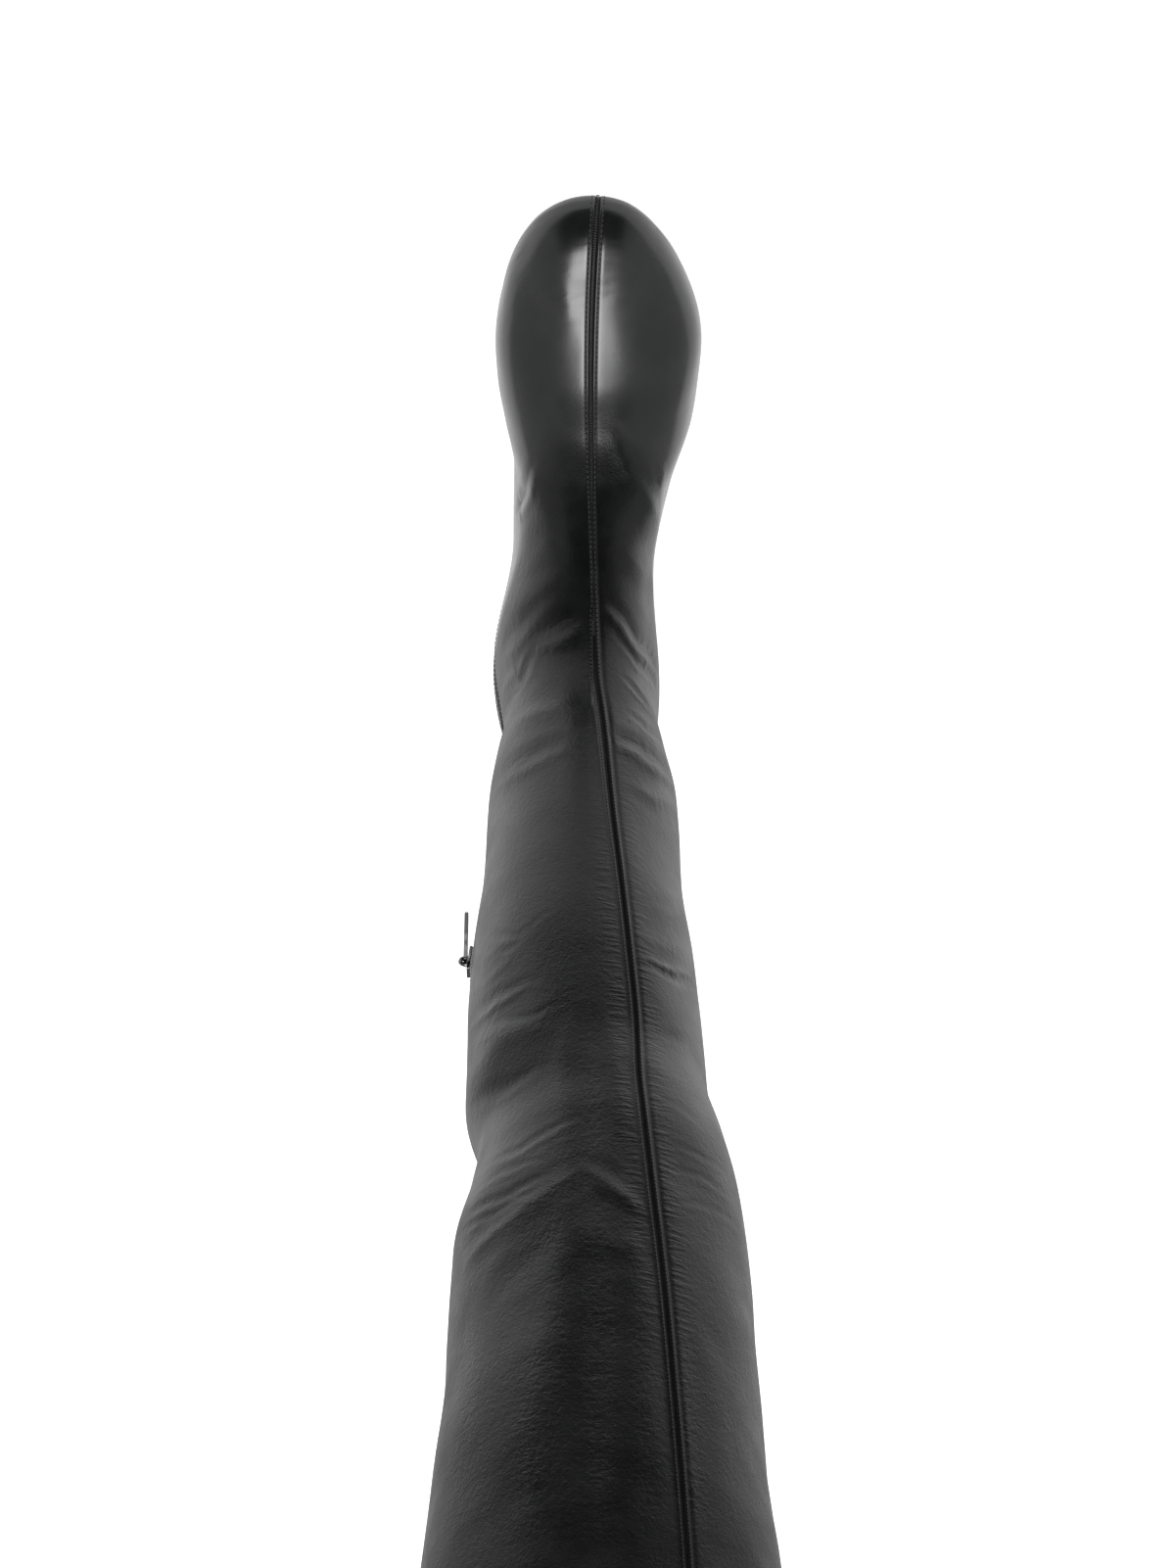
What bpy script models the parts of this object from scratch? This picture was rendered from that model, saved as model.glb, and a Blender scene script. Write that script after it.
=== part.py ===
"""Thigh-high boot for the right foot: soft leather on a block heel, with a raised-edge channel seam
down the front and a zip up the inside of the calf. Metres, +Z up, toe towards -Y.

S is the distance forward from the back of the heel, so Y = HEEL_CENTRE - S.
X is positive on the medial side, where the other foot would be.
"""

import math

import bmesh
import bpy
import numpy as np
from mathutils import Matrix, Vector

# The last: the shape that the foot of the boot is built round. TOE_ROUND and HEEL_ROUND are how far from its
# ends the outline rounds in, TOE_BOX_ROUND and HEEL_CURVE how far the top does. The powers are those of
# superellipses: 2 is an ellipse, and more is squarer.
LAST_LENGTH = 0.250
BALL_WIDTH = 0.0925
INSTEP_HEIGHT = 0.090
HEEL_RISE = 0.056
TOE_SPRING = 0.006
TOE_SPRING_FROM = 0.77
TOE_ROUND = 0.078
TOE_BOX_ROUND = 0.026
TOE_SEAM_ASIDE = 0.0030
SEAM_SWAY = 0.0032
TOE_POWER = 2.15
HEEL_ROUND = 0.032
HEEL_CURVE = 0.044
END_POWER = 2.2

# The shaft. ANKLE_LEVEL is where level rings take over from those of the foot, which lie on rays from PIVOT,
# an (S, Z) inside the instep. Below SHAFT_FADE the shaft's form gives way to the foot's.
BOOT_HEIGHT = 0.757
ANKLE_LEVEL = 0.165
ANKLE_AXIS = 0.057
ANKLE_BLEND = 0.036
SHAFT_FADE = 0.118
SHAFT_FADE_DEPTH = 0.115
PIVOT = (0.075, 0.062)
THIGH_WIDTH = 0.146
THIGH_DEPTH = 0.160
COLLAR_SLANT = 0.010
SHAFT_POWER = 2.15

# Leather, seams and gaps. The channel seam down the front swings SEAM_SWAY back to the middle over the instep.
WALL = 0.0018
GAP = 0.0003
FEATHER_INSET = 0.0040
CHANNEL_FLOOR = 0.0028
CHANNEL_WIDTH = 0.0040
CHANNEL_DEPTH = 0.0006
HEM_DEPTH = 0.012
HEM_STEP = 0.0006
HEM_EASE = 0.0006

# Sole, insole and heel.
SOLE_THICKNESS = 0.0040
WAIST_THICKNESS = 0.0030
SOLE_EDGE = 0.0030
SOLE_CHAMFER = 0.0007
SOLE_EDGE_SHARE = 0.75
INSOLE_THICKNESS = 0.0025
INSOLE_EASE = 0.0012
HEEL_CENTRE = 0.030
HEEL_LENGTH = 0.057
HEEL_TAPER = 0.16
HEEL_UNDERCUT = 0.006
BREAST_SLOPE = 0.004
HEEL_DEPTHS = (0.0, 0.2, 0.45, 0.72, 1.0)
TOP_PIECE = 0.005

# The zip, its slider and its pull tab.
ZIP_SHARE = 0.62
ZIP_FOOT = 0.25
ZIP_TOP = 0.318
SLOT_WIDTH = 0.0072
TAPE_WIDTH = 0.022
TAPE_THICKNESS = 0.0008
TAPE_GAP = 0.0006
CHAIN_PROUD = 0.0003
SLIDER_LEVEL = 0.2975
SLIDER_LENGTH = 0.0165
SLIDER_WIDTH = 0.0090
SLIDER_NECK = 0.0066
SLIDER_PLATE = 0.0014
SLIDER_FIT = 0.0040
BAIL_RADIUS = 0.0023
BAIL_WIRE = 0.0010
BAR_RADIUS = 0.0008
PULL_LENGTH = 0.0340
PULL_WIDTH = 0.0056
PULL_THICKNESS = 0.0018
PULL_WINDOW = 0.0030
PULL_CLEARANCE = 0.0005

# How finely the upper is divided. RAYS, PATH_STEPS and the longest rays are for working out the form, before it
# is divided. Where the outline is narrower than SLIMMEST, at the two ends, the field stops shrinking with it.
FOOT_RINGS = 20
LOWER_RINGS = 13
UPPER_RINGS = 17
TOE_CROWDING = 0.35
RAYS = 360
PATH_STEPS = 240
LEVEL_RAY = 0.200
FOOT_RAY = 0.300
SLIMMEST = 0.0040
VAMP_COLUMNS = 11
QUARTER_COLUMNS = 6
LATERAL_COLUMNS = 19

# The foot, station by station. at: share of LAST_LENGTH from the heel. rise: share of HEEL_RISE.
# top: height over the feather line, share of INSTEP_HEIGHT. medial, lateral: half widths, shares of
# BALL_WIDTH. fullest: height of the widest line, share of the local top. crown: roundness over the top.
FOOT_COLUMNS = ("at", "rise", "top", "medial", "lateral", "fullest", "crown")
FOOT_ROWS = (
    (0.00, 1.000, 0.84, 0.345, 0.290, 0.40, 2.20),
    (0.10, 0.975, 0.90, 0.362, 0.287, 0.38, 2.20),
    (0.22, 0.875, 0.96, 0.378, 0.285, 0.36, 2.10),
    (0.36, 0.585, 1.00, 0.388, 0.305, 0.32, 1.95),
    (0.50, 0.240, 0.97, 0.385, 0.400, 0.28, 1.85),
    (0.58, 0.060, 0.84, 0.435, 0.495, 0.27, 1.90),
    (0.64, 0.000, 0.74, 0.465, 0.520, 0.28, 2.00),
    (0.72, 0.000, 0.59, 0.475, 0.535, 0.29, 2.10),
    (0.84, 0.000, 0.42, 0.465, 0.508, 0.24, 2.15),
    (1.00, 0.000, 0.25, 0.435, 0.460, 0.10, 2.20),
)

# The shaft, level by level. level: share of BOOT_HEIGHT. front, back: distance from ANKLE_AXIS, shares of
# THIGH_DEPTH. medial, lateral: distance from the centre plane, shares of THIGH_WIDTH. seam: how far the front
# seam lies to the lateral side of the centre plane, a share of THIGH_WIDTH.
SHAFT_COLUMNS = ("level", "front", "back", "medial", "lateral", "seam")
SHAFT_ROWS = (
    (0.13, 0.240, 0.275, 0.272, 0.115, 0.000),
    (0.19, 0.262, 0.282, 0.260, 0.163, 0.010),
    (0.23, 0.270, 0.288, 0.294, 0.220, 0.021),
    (0.27, 0.285, 0.305, 0.314, 0.258, 0.035),
    (0.34, 0.305, 0.345, 0.330, 0.270, 0.058),
    (0.40, 0.318, 0.372, 0.360, 0.302, 0.083),
    (0.46, 0.325, 0.380, 0.372, 0.324, 0.106),
    (0.52, 0.325, 0.358, 0.372, 0.342, 0.126),
    (0.565, 0.335, 0.335, 0.330, 0.388, 0.132),
    (0.60, 0.352, 0.342, 0.350, 0.420, 0.144),
    (0.65, 0.372, 0.372, 0.402, 0.448, 0.163),
    (0.74, 0.402, 0.410, 0.414, 0.468, 0.198),
    (0.82, 0.432, 0.440, 0.444, 0.490, 0.222),
    (0.90, 0.458, 0.470, 0.476, 0.524, 0.243),
    (1.00, 0.490, 0.510, 0.508, 0.560, 0.265),
)

COLLECTION = "thigh_high_boot"
CUTTERS = "cutters"


# Reading the tables

def smooth(at, xs, ys):
    """A monotone cubic curve through the points (xs, ys), read at every value of at."""
    gaps = np.diff(xs)
    slopes = np.diff(ys) / gaps
    turns = np.zeros(len(ys))
    turns[0], turns[-1] = slopes[0], slopes[-1]
    before, after = slopes[:-1], slopes[1:]
    same = before * after > 0
    turns[1:-1][same] = 2 * before[same] * after[same] / (before[same] + after[same])
    at = np.clip(at, xs[0], xs[-1])
    k = np.clip(np.searchsorted(xs, at, side="right") - 1, 0, len(gaps) - 1)
    t = (at - xs[k]) / gaps[k]
    ease = t * t * (3 - 2 * t)
    bend = gaps[k] * (t * (1 - t) ** 2 * turns[k] + t * t * (t - 1) * turns[k + 1])
    return (1 - ease) * ys[k] + ease * ys[k + 1] + bend


def table(columns, rows):
    return dict(zip(columns, np.array(rows, float).T))


FOOT = table(FOOT_COLUMNS, FOOT_ROWS)
SHAFT = table(SHAFT_COLUMNS, SHAFT_ROWS)


def foot(name, s):
    return smooth(s / LAST_LENGTH, FOOT["at"], FOOT[name])


def shaft(name, z):
    return smooth(z / BOOT_HEIGHT, SHAFT["level"], SHAFT[name])


def ease(t):
    t = np.clip(t, 0, 1)
    return t * t * (3 - 2 * t)


# The form of the last and the shaft

def feather(s):
    """Height of the feather line, where the upper meets the sole."""
    spring = np.clip((s / LAST_LENGTH - TOE_SPRING_FROM) / (1 - TOE_SPRING_FROM), 0, 1) ** 1.8
    return SOLE_THICKNESS + GAP + HEEL_RISE * foot("rise", s) + TOE_SPRING * spring


def rounding(part, power):
    """1 in the body of the last, falling to 0 at its end as a superellipse does."""
    return (1 - np.clip(part, 0, 1) ** power) ** (1 / power)


def outline(s, medial, inset):
    """Half width of the last's outline, pulled in all round by inset."""
    half = np.where(medial, foot("medial", s), foot("lateral", s)) * BALL_WIDTH - inset
    toe = rounding((s - LAST_LENGTH + TOE_ROUND) / (TOE_ROUND - inset), TOE_POWER)
    heel = rounding((HEEL_ROUND - s) / (HEEL_ROUND - inset), END_POWER)
    return half * toe * heel


def foot_field(x, s, z):
    """Below zero inside the foot, and about the distance to it outside."""
    low = feather(s)
    tall = foot("top", s) * INSTEP_HEIGHT
    widest = low + foot("fullest", s) * tall
    toe = rounding((s - LAST_LENGTH + TOE_BOX_ROUND) / TOE_BOX_ROUND, END_POWER)
    heel = rounding((HEEL_CURVE - s) / HEEL_CURVE, END_POWER)
    over = np.maximum((low + tall - widest) * toe * heel, 1e-4)
    under = np.clip((widest - z) / (widest - low), 0, 1)
    inset = FEATHER_INSET * under ** 2
    half = np.maximum(outline(s, x >= 0, inset), 1e-4)
    climb = np.maximum(z - widest, 0) / over
    crown = foot("crown", s)
    ratio = ((np.abs(x) / half) ** crown + climb ** crown) ** (1 / crown)
    past = np.maximum(s - (LAST_LENGTH - inset), inset - s)
    return np.maximum((ratio - 1) * np.maximum(half, SLIMMEST), past)


def shaft_field(x, s, z):
    """The same for the shaft."""
    front, back = shaft("front", z) * THIGH_DEPTH, shaft("back", z) * THIGH_DEPTH
    medial, lateral = shaft("medial", z) * THIGH_WIDTH, shaft("lateral", z) * THIGH_WIDTH
    across = np.abs(x - (medial - lateral) / 2) / ((medial + lateral) / 2)
    along = np.abs(s - ANKLE_AXIS - (front - back) / 2) / ((front + back) / 2)
    ratio = (across ** SHAFT_POWER + along ** SHAFT_POWER) ** (1 / SHAFT_POWER)
    fade = np.maximum(SHAFT_FADE - z, 0) ** 2 / SHAFT_FADE_DEPTH
    return (ratio - 1) * (medial + lateral) / 2 + fade


def field(x, s, z):
    """Foot and shaft, run together round the ankle."""
    a, b = foot_field(x, s, z), shaft_field(x, s, z)
    near = np.maximum(ANKLE_BLEND - np.abs(a - b), 0) / ANKLE_BLEND
    return np.minimum(a, b) - near * near * ANKLE_BLEND / 4


def reach(start, way, longest):
    """The points at which rays leave the form. A ray is a row of (X, S, Z) and the way it goes."""
    low, high = np.zeros(way.shape[:-1]), np.full(way.shape[:-1], longest)
    for _ in range(32):
        middle = (low + high) / 2
        x, s, z = np.moveaxis(start + middle[..., None] * way, -1, 0)
        inside = field(x, s, z) < 0
        low, high = np.where(inside, middle, low), np.where(inside, high, middle)
    return start + low[..., None] * way


# Rings round the boot, from the feather line to the collar

class Ring:
    """A closed line of RAYS points round the boot. Arcs run from the front seam round the medial side."""

    def __init__(self, points, seam, back):
        self.loop = np.vstack([points, points[:1]])
        steps = np.linalg.norm(np.diff(self.loop, axis=0), axis=1)
        self.arcs = np.concatenate([[0], np.cumsum(steps)])
        self.length = self.arcs[-1]
        self.seam, self.back = self.arc_at(seam), self.arc_at(back)

    def arc_at(self, place):
        """The arc at a place counted in points, below 0 on the lateral side of the first."""
        return float(np.interp(abs(place), np.arange(RAYS + 1), self.arcs)) * (1 if place >= 0 else -1)

    def at(self, arcs):
        """Points at distances along the ring from the front seam."""
        arcs = (np.asarray(arcs) + self.seam) % self.length
        return np.column_stack([np.interp(arcs, self.arcs, self.loop[:, k]) for k in range(3)])

    def medial_length(self):
        return self.back - self.seam

    def zip_arc(self):
        return ZIP_SHARE * self.medial_length()

    def column_arcs(self):
        """Distances of the upper's columns from the front seam, all round."""
        medial = self.medial_length()
        channel = [0, CHANNEL_FLOOR / 2, CHANNEL_WIDTH / 2]
        slot = [self.zip_arc() + aside for aside in ZIP_ASIDES]
        vamp = np.linspace(channel[-1], slot[0], VAMP_COLUMNS + 2)[1:-1]
        quarter = np.linspace(slot[-1], medial, QUARTER_COLUMNS + 2)[1:]
        far = self.length - channel[-1]
        lateral = np.linspace(medial, far, LATERAL_COLUMNS + 2)[1:]
        return np.concatenate([channel, vamp, slot, quarter, lateral, [self.length - channel[1]]])


def shaft_ring(level):
    """A ring of the shaft, level at the ankle and slanting a little towards the collar."""
    turn = np.arange(RAYS) * 2 * math.pi / RAYS
    slant = COLLAR_SLANT * ease((level - ZIP_TOP) / (BOOT_HEIGHT - ZIP_TOP)) / THIGH_DEPTH
    medial = float(shaft("medial", level)) * THIGH_WIDTH
    lateral = float(shaft("lateral", level)) * THIGH_WIDTH
    start = np.array([(medial - lateral) / 2, ANKLE_AXIS, level])
    way = np.column_stack([np.sin(turn), np.cos(turn), slant * np.cos(turn)])
    points = reach(start, way, LEVEL_RAY)
    front = np.arange(-RAYS // 6, RAYS // 6 + 1)
    seam = float(np.interp(-float(shaft("seam", level)) * THIGH_WIDTH, points[front, 0], front))
    turned = float(ease((level - ANKLE_LEVEL) / (ZIP_TOP - ANKLE_LEVEL)))
    return Ring(points, seam, RAYS / 2 + seam * turned)


def feather_ring():
    """The line where the upper meets the sole."""
    share = (1 + np.cos(np.arange(RAYS // 2 + 1) * 2 * math.pi / RAYS)) / 2
    s = FEATHER_INSET + (LAST_LENGTH - 2 * FEATHER_INSET) * share
    medial = np.column_stack([outline(s, True, FEATHER_INSET), s, feather(s)])
    lateral = np.column_stack([-outline(s, False, FEATHER_INSET), s, feather(s)])
    ring = Ring(np.vstack([medial, lateral[-2:0:-1]]), 0, RAYS / 2)
    ring.seam = -TOE_SEAM_ASIDE
    return ring


def spread(ring):
    """RAYS points of a ring: half of them evenly along the medial side, half along the lateral side."""
    medial = ring.medial_length()
    half = RAYS // 2
    there = np.linspace(0, medial, half, endpoint=False)
    back = np.linspace(medial, ring.length, half, endpoint=False)
    return ring.at(np.concatenate([there, back]))


def foot_rings():
    """Rings over the foot. Each of RAYS paths climbs from the feather line to the ankle, on rays from PIVOT."""
    pivot = np.array([0, *PIVOT])
    ends = []
    for ring in (feather_ring(), shaft_ring(ANKLE_LEVEL)):
        way = spread(ring) - pivot
        ends.append(way / np.linalg.norm(way, axis=1, keepdims=True))
    low, high = ends
    part = np.linspace(0, 1, PATH_STEPS)[:, None, None]
    angle = np.arccos(np.sum(low * high, axis=1))[None, :, None]
    way = (np.sin((1 - part) * angle) * low + np.sin(part * angle) * high) / np.sin(angle)
    paths = reach(pivot, way, FOOT_RAY)
    paths[0] = spread(feather_ring())
    steps = np.linalg.norm(np.diff(paths, axis=0), axis=2)
    lengths = np.vstack([np.zeros(RAYS), np.cumsum(steps, axis=0)])
    shares = np.arange(FOOT_RINGS) / FOOT_RINGS
    rings = np.empty((FOOT_RINGS, RAYS, 3))
    for ray in range(RAYS):
        forward = (1 + math.cos(ray * 2 * math.pi / RAYS)) / 2
        at = shares ** (1 + TOE_CROWDING * forward) * lengths[-1, ray]
        for k in range(3):
            rings[:, ray, k] = np.interp(at, lengths[:, ray], paths[:, ray, k])
    found = [Ring(points, 0, RAYS / 2) for points in rings]
    for ring, share in zip(found, shares):
        ring.seam = SEAM_SWAY * math.sin(math.pi * share)
    return found


def shaft_levels():
    """Levels of the rings above the ankle: one at the top of the zip, and two at the step of the hem."""
    lower = np.linspace(ANKLE_LEVEL, ZIP_TOP, LOWER_RINGS + 1)[:-1]
    hem = BOOT_HEIGHT - HEM_DEPTH
    upper = np.linspace(ZIP_TOP, hem, UPPER_RINGS + 1)
    return np.concatenate([lower, upper, [hem + HEM_EASE, BOOT_HEIGHT]])


def all_rings():
    return foot_rings() + [shaft_ring(level) for level in shaft_levels()]


ZIP_ASIDES = (-TAPE_WIDTH / 2, -SLOT_WIDTH / 2, SLOT_WIDTH / 2, TAPE_WIDTH / 2)
TAPE_COLUMN = 3 + VAMP_COLUMNS
SLOT_COLUMN = TAPE_COLUMN + 1


def to_world(points):
    """(X, S, Z) rows as (X, Y, Z)."""
    points = np.array(points, float)
    points[..., 1] = HEEL_CENTRE - points[..., 1]
    return points


def outward(grid):
    """Unit normals of a grid of rings by columns, closed round each ring."""
    across = np.roll(grid, -1, axis=1) - np.roll(grid, 1, axis=1)
    along = np.gradient(grid, axis=0)
    normals = np.cross(across, along)
    return normals / np.linalg.norm(normals, axis=2, keepdims=True)


# Making objects

def leather(name, colour, roughness, metallic=0.0):
    material = bpy.data.materials.new(name)
    material.use_nodes = True
    shader = material.node_tree.nodes["Principled BSDF"]
    shader.inputs["Base Color"].default_value = (*colour, 1)
    shader.inputs["Roughness"].default_value = roughness
    shader.inputs["Metallic"].default_value = metallic
    material.diffuse_color = (*colour, 1)
    return material


def add_object(name, bm, material, collection):
    bmesh.ops.remove_doubles(bm, verts=bm.verts, dist=1e-6)
    bmesh.ops.recalc_face_normals(bm, faces=bm.faces)
    mesh = bpy.data.meshes.new(name)
    bm.to_mesh(mesh)
    bm.free()
    mesh.materials.append(material)
    mesh.shade_smooth()
    mesh.set_sharp_from_angle(angle=math.radians(40))
    made = bpy.data.objects.new(name, mesh)
    collection.objects.link(made)
    return made


def upper_grid(rings):
    """Points of the upper's outer face, ring by ring and column by column, with their normals."""
    grid = to_world(np.array([ring.at(ring.column_arcs()) for ring in rings]))
    return grid, outward(grid)


def upper(rings, material, collection):
    """The leather: one hollow wall, open under the foot, at the collar and along the zip."""
    grid, normals = upper_grid(rings)
    relief = np.zeros(grid.shape[:2])
    for column in (-1, 0, 1):
        relief[:, column] = -CHANNEL_DEPTH
    relief[-2:, :] += HEM_STEP
    face = grid + normals * relief[..., None]
    rows, columns = face.shape[:2]
    first, last = zip_rows()
    bm = bmesh.new()
    wall = [[bm.verts.new(point) for point in row] for row in face]
    for row in range(rows - 1):
        for column in range(columns):
            if column == SLOT_COLUMN and first <= row < last:
                continue
            after = (column + 1) % columns
            bm.faces.new((wall[row][column], wall[row][after], wall[row + 1][after], wall[row + 1][column]))
    made = add_object("upper", bm, material, collection)
    shell = made.modifiers.new("wall", "SOLIDIFY")
    shell.thickness = WALL
    shell.offset = -1
    return made


def zip_rows():
    """First and last ring of the zip's slot."""
    return round(ZIP_FOOT * FOOT_RINGS), FOOT_RINGS + LOWER_RINGS


def loft(name, sections, material, collection):
    """A closed solid through loops of equally many points, with flat ends."""
    bm = bmesh.new()
    loops = [[bm.verts.new(p) for p in section] for section in sections]
    count = len(loops[0])
    for loop, following in zip(loops, loops[1:]):
        for k in range(count):
            after = (k + 1) % count
            bm.faces.new((loop[k], loop[after], following[after], following[k]))
    bm.faces.new(loops[0])
    bm.faces.new(loops[-1])
    return add_object(name, bm, material, collection)


def slab(name, layers, material, collection):
    """A closed solid through layers. A layer is two rows of points from heel to toe, medial and lateral."""
    bm = bmesh.new()
    made = [[[bm.verts.new(p) for p in side] for side in layer] for layer in layers]
    for layer, below in zip(made, made[1:]):
        for side, under in zip(layer, below):
            for k in range(len(side) - 1):
                bm.faces.new((side[k], side[k + 1], under[k + 1], under[k]))
        for end in (0, -1):
            bm.faces.new((layer[0][end], layer[1][end], below[1][end], below[0][end]))
    for medial, lateral in (made[0], made[-1]):
        for k in range(len(medial) - 1):
            bm.faces.new((medial[k], medial[k + 1], lateral[k + 1], lateral[k]))
    return add_object(name, bm, material, collection)


def sole_thickness(s):
    """Full under the ball and toe, thinner in the waist and under the heel."""
    thin = ease((0.60 * LAST_LENGTH - s) / (0.20 * LAST_LENGTH))
    return SOLE_THICKNESS + (WAIST_THICKNESS - SOLE_THICKNESS) * thin


def sole_under(s):
    return feather(s) - GAP - sole_thickness(s)


def plan_layer(stations, inset, height):
    """The last's outline pulled in by inset, at the height that a function of S gives."""
    sides = []
    for medial in (True, False):
        half = outline(stations, medial, inset) * (1 if medial else -1)
        half[[0, -1]] = 0
        sides.append(to_world(np.column_stack([half, stations, height(stations)])))
    return sides


def stations_along(inset, count):
    """Stations from heel to toe, close together at both round ends."""
    share = (1 - np.cos(np.linspace(0, math.pi, count))) / 2
    return inset + (LAST_LENGTH - 2 * inset) * share


def outsole(material, collection):
    layers = []
    for inset, drop in ((0, 0.0), (0, SOLE_EDGE_SHARE), (SOLE_CHAMFER, 1.0)):
        stations = stations_along(SOLE_EDGE + inset, 40)
        layers.append(plan_layer(stations, SOLE_EDGE + inset,
                                 lambda s, drop=drop: feather(s) - GAP - sole_thickness(s) * drop))
    return slab("outsole", layers, material, collection)


def insole(material, collection):
    inset = FEATHER_INSET + WALL + INSOLE_EASE
    stations = stations_along(inset, 26)
    layers = [plan_layer(stations, inset, lambda s, up=up: feather(s) + up) for up in (INSOLE_THICKNESS, 0.0)]
    return slab("insole", layers, material, collection)


def heel_layer(depth, height, count=14):
    """The heel's outline at a depth from 0, under the seat, to 1, at the floor."""
    back = SOLE_EDGE + HEEL_UNDERCUT * depth ** 1.5
    breast = HEEL_LENGTH - BREAST_SLOPE * depth
    share = 1 - np.cos(np.linspace(0, math.pi / 2, count))
    seat = SOLE_EDGE + (HEEL_LENGTH - SOLE_EDGE) * share
    stations = back + (breast - back) * share
    sides = []
    for medial in (True, False):
        half = outline(seat, medial, SOLE_EDGE) * (1 - HEEL_TAPER * depth) * (1 if medial else -1)
        half[0] = 0
        sides.append(to_world(np.column_stack([half, stations, height(stations)])))
    return sides


def heel(material, collection):
    def height(s, depth):
        return (sole_under(s) - GAP) * (1 - depth) + (TOP_PIECE + GAP) * depth

    layers = [heel_layer(depth, lambda s, depth=depth: height(s, depth)) for depth in HEEL_DEPTHS]
    return slab("heel", layers, material, collection)


def top_piece(material, collection):
    layers = [heel_layer(1.0, lambda s, z=z: np.full(len(s), z)) for z in (TOP_PIECE, 0.0)]
    return slab("heel_top_piece", layers, material, collection)


def zip_strip(rings, material, collection):
    """Tape and teeth as one strip of T section: the teeth fill the slot, the tape lies inside the wall."""
    first, last = zip_rows()
    grid, normals = upper_grid(rings)
    band = slice(TAPE_COLUMN, TAPE_COLUMN + len(ZIP_ASIDES))
    grid, normals = grid[first:last + 1, band], normals[first:last + 1, band]
    chain, tape = SLOT_WIDTH / 2 - GAP, TAPE_WIDTH / 2
    near, far = WALL + TAPE_GAP, WALL + TAPE_GAP + TAPE_THICKNESS
    profile = (
        (-chain, -CHAIN_PROUD), (chain, -CHAIN_PROUD), (chain, near), (tape, near), (tape, far),
        (SLOT_WIDTH / 2, far), (-SLOT_WIDTH / 2, far), (-tape, far), (-tape, near), (-chain, near),
    )

    def across(values, aside):
        return np.array([np.interp(aside, ZIP_ASIDES, values[:, k]) for k in range(3)])

    sections = [np.array([across(points, aside) - across(out, aside) * depth for aside, depth in profile])
                for points, out in zip(grid, normals)]
    # The strip stops a gap short of the slot's two ends.
    for end, beside in ((0, 1), (-1, -2)):
        step = sections[beside] - sections[end]
        sections[end] = sections[end] + step / np.linalg.norm(step, axis=1, keepdims=True) * GAP
    return loft("zip_strip", sections, material, collection)


# The slider and its pull

def slider_frame():
    """Where the slider sits: a matrix with X across the zip, Y up along it and Z out of the leather.

    It follows the leather SLIDER_FIT to each side.
    """
    rings = [shaft_ring(SLIDER_LEVEL + up) for up in (-SLIDER_FIT, 0, SLIDER_FIT)]
    low, here, high = [to_world(ring.at([ring.zip_arc()]))[0] for ring in rings]
    beside = [rings[1].zip_arc() + aside for aside in (-SLIDER_FIT, SLIDER_FIT)]
    left, right = to_world(rings[1].at(beside))
    along = Vector(high - low).normalized()
    out = Vector(right - left).cross(along).normalized()
    across = along.cross(out).normalized()
    turn = Matrix((across, along, out)).transposed().to_4x4()
    return Matrix.Translation(Vector(here)) @ turn


def bar_height():
    """Height of the pull's bar over the leather: clear of the slider's plate."""
    return CHAIN_PROUD + GAP + SLIDER_PLATE + GAP + PULL_THICKNESS / 2


def plate_outline():
    """Half the slider's plate, from its narrow foot to its wide crown."""
    return (
        (SLIDER_NECK / 2 * 0.6, -SLIDER_LENGTH / 2), (SLIDER_NECK / 2, -SLIDER_LENGTH / 2 * 0.84),
        (SLIDER_NECK / 2, -SLIDER_LENGTH * 0.04), (SLIDER_WIDTH / 2, SLIDER_LENGTH * 0.20),
        (SLIDER_WIDTH / 2, SLIDER_LENGTH * 0.34), (SLIDER_WIDTH / 2 * 0.62, SLIDER_LENGTH / 2),
    )


def flat_mesh(name, outlines, thickness, collection):
    """A mesh from closed outlines, the inner ones being holes, thickness deep about its middle."""
    curve = bpy.data.curves.new(name, "CURVE")
    curve.dimensions = "2D"
    curve.fill_mode = "BOTH"
    curve.extrude = thickness / 2
    for points in outlines:
        line = curve.splines.new("POLY")
        line.points.add(len(points) - 1)
        for point, (x, y) in zip(line.points, points):
            point.co = (x, y, 0, 1)
        line.use_cyclic_u = True
    return as_mesh(name, curve, collection)


def as_mesh(name, curve, collection):
    """A mesh object in place of a curve, with its caps welded on."""
    drawn = bpy.data.objects.new(name + "_line", curve)
    collection.objects.link(drawn)
    bpy.context.view_layer.update()
    graph = bpy.context.evaluated_depsgraph_get()
    mesh = bpy.data.meshes.new_from_object(drawn.evaluated_get(graph))
    bpy.data.objects.remove(drawn)
    bm = bmesh.new()
    bm.from_mesh(mesh)
    bmesh.ops.remove_doubles(bm, verts=bm.verts, dist=1e-6)
    bmesh.ops.recalc_face_normals(bm, faces=bm.faces)
    bm.to_mesh(mesh)
    bm.free()
    made = bpy.data.objects.new(name, mesh)
    collection.objects.link(made)
    return made


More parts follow.
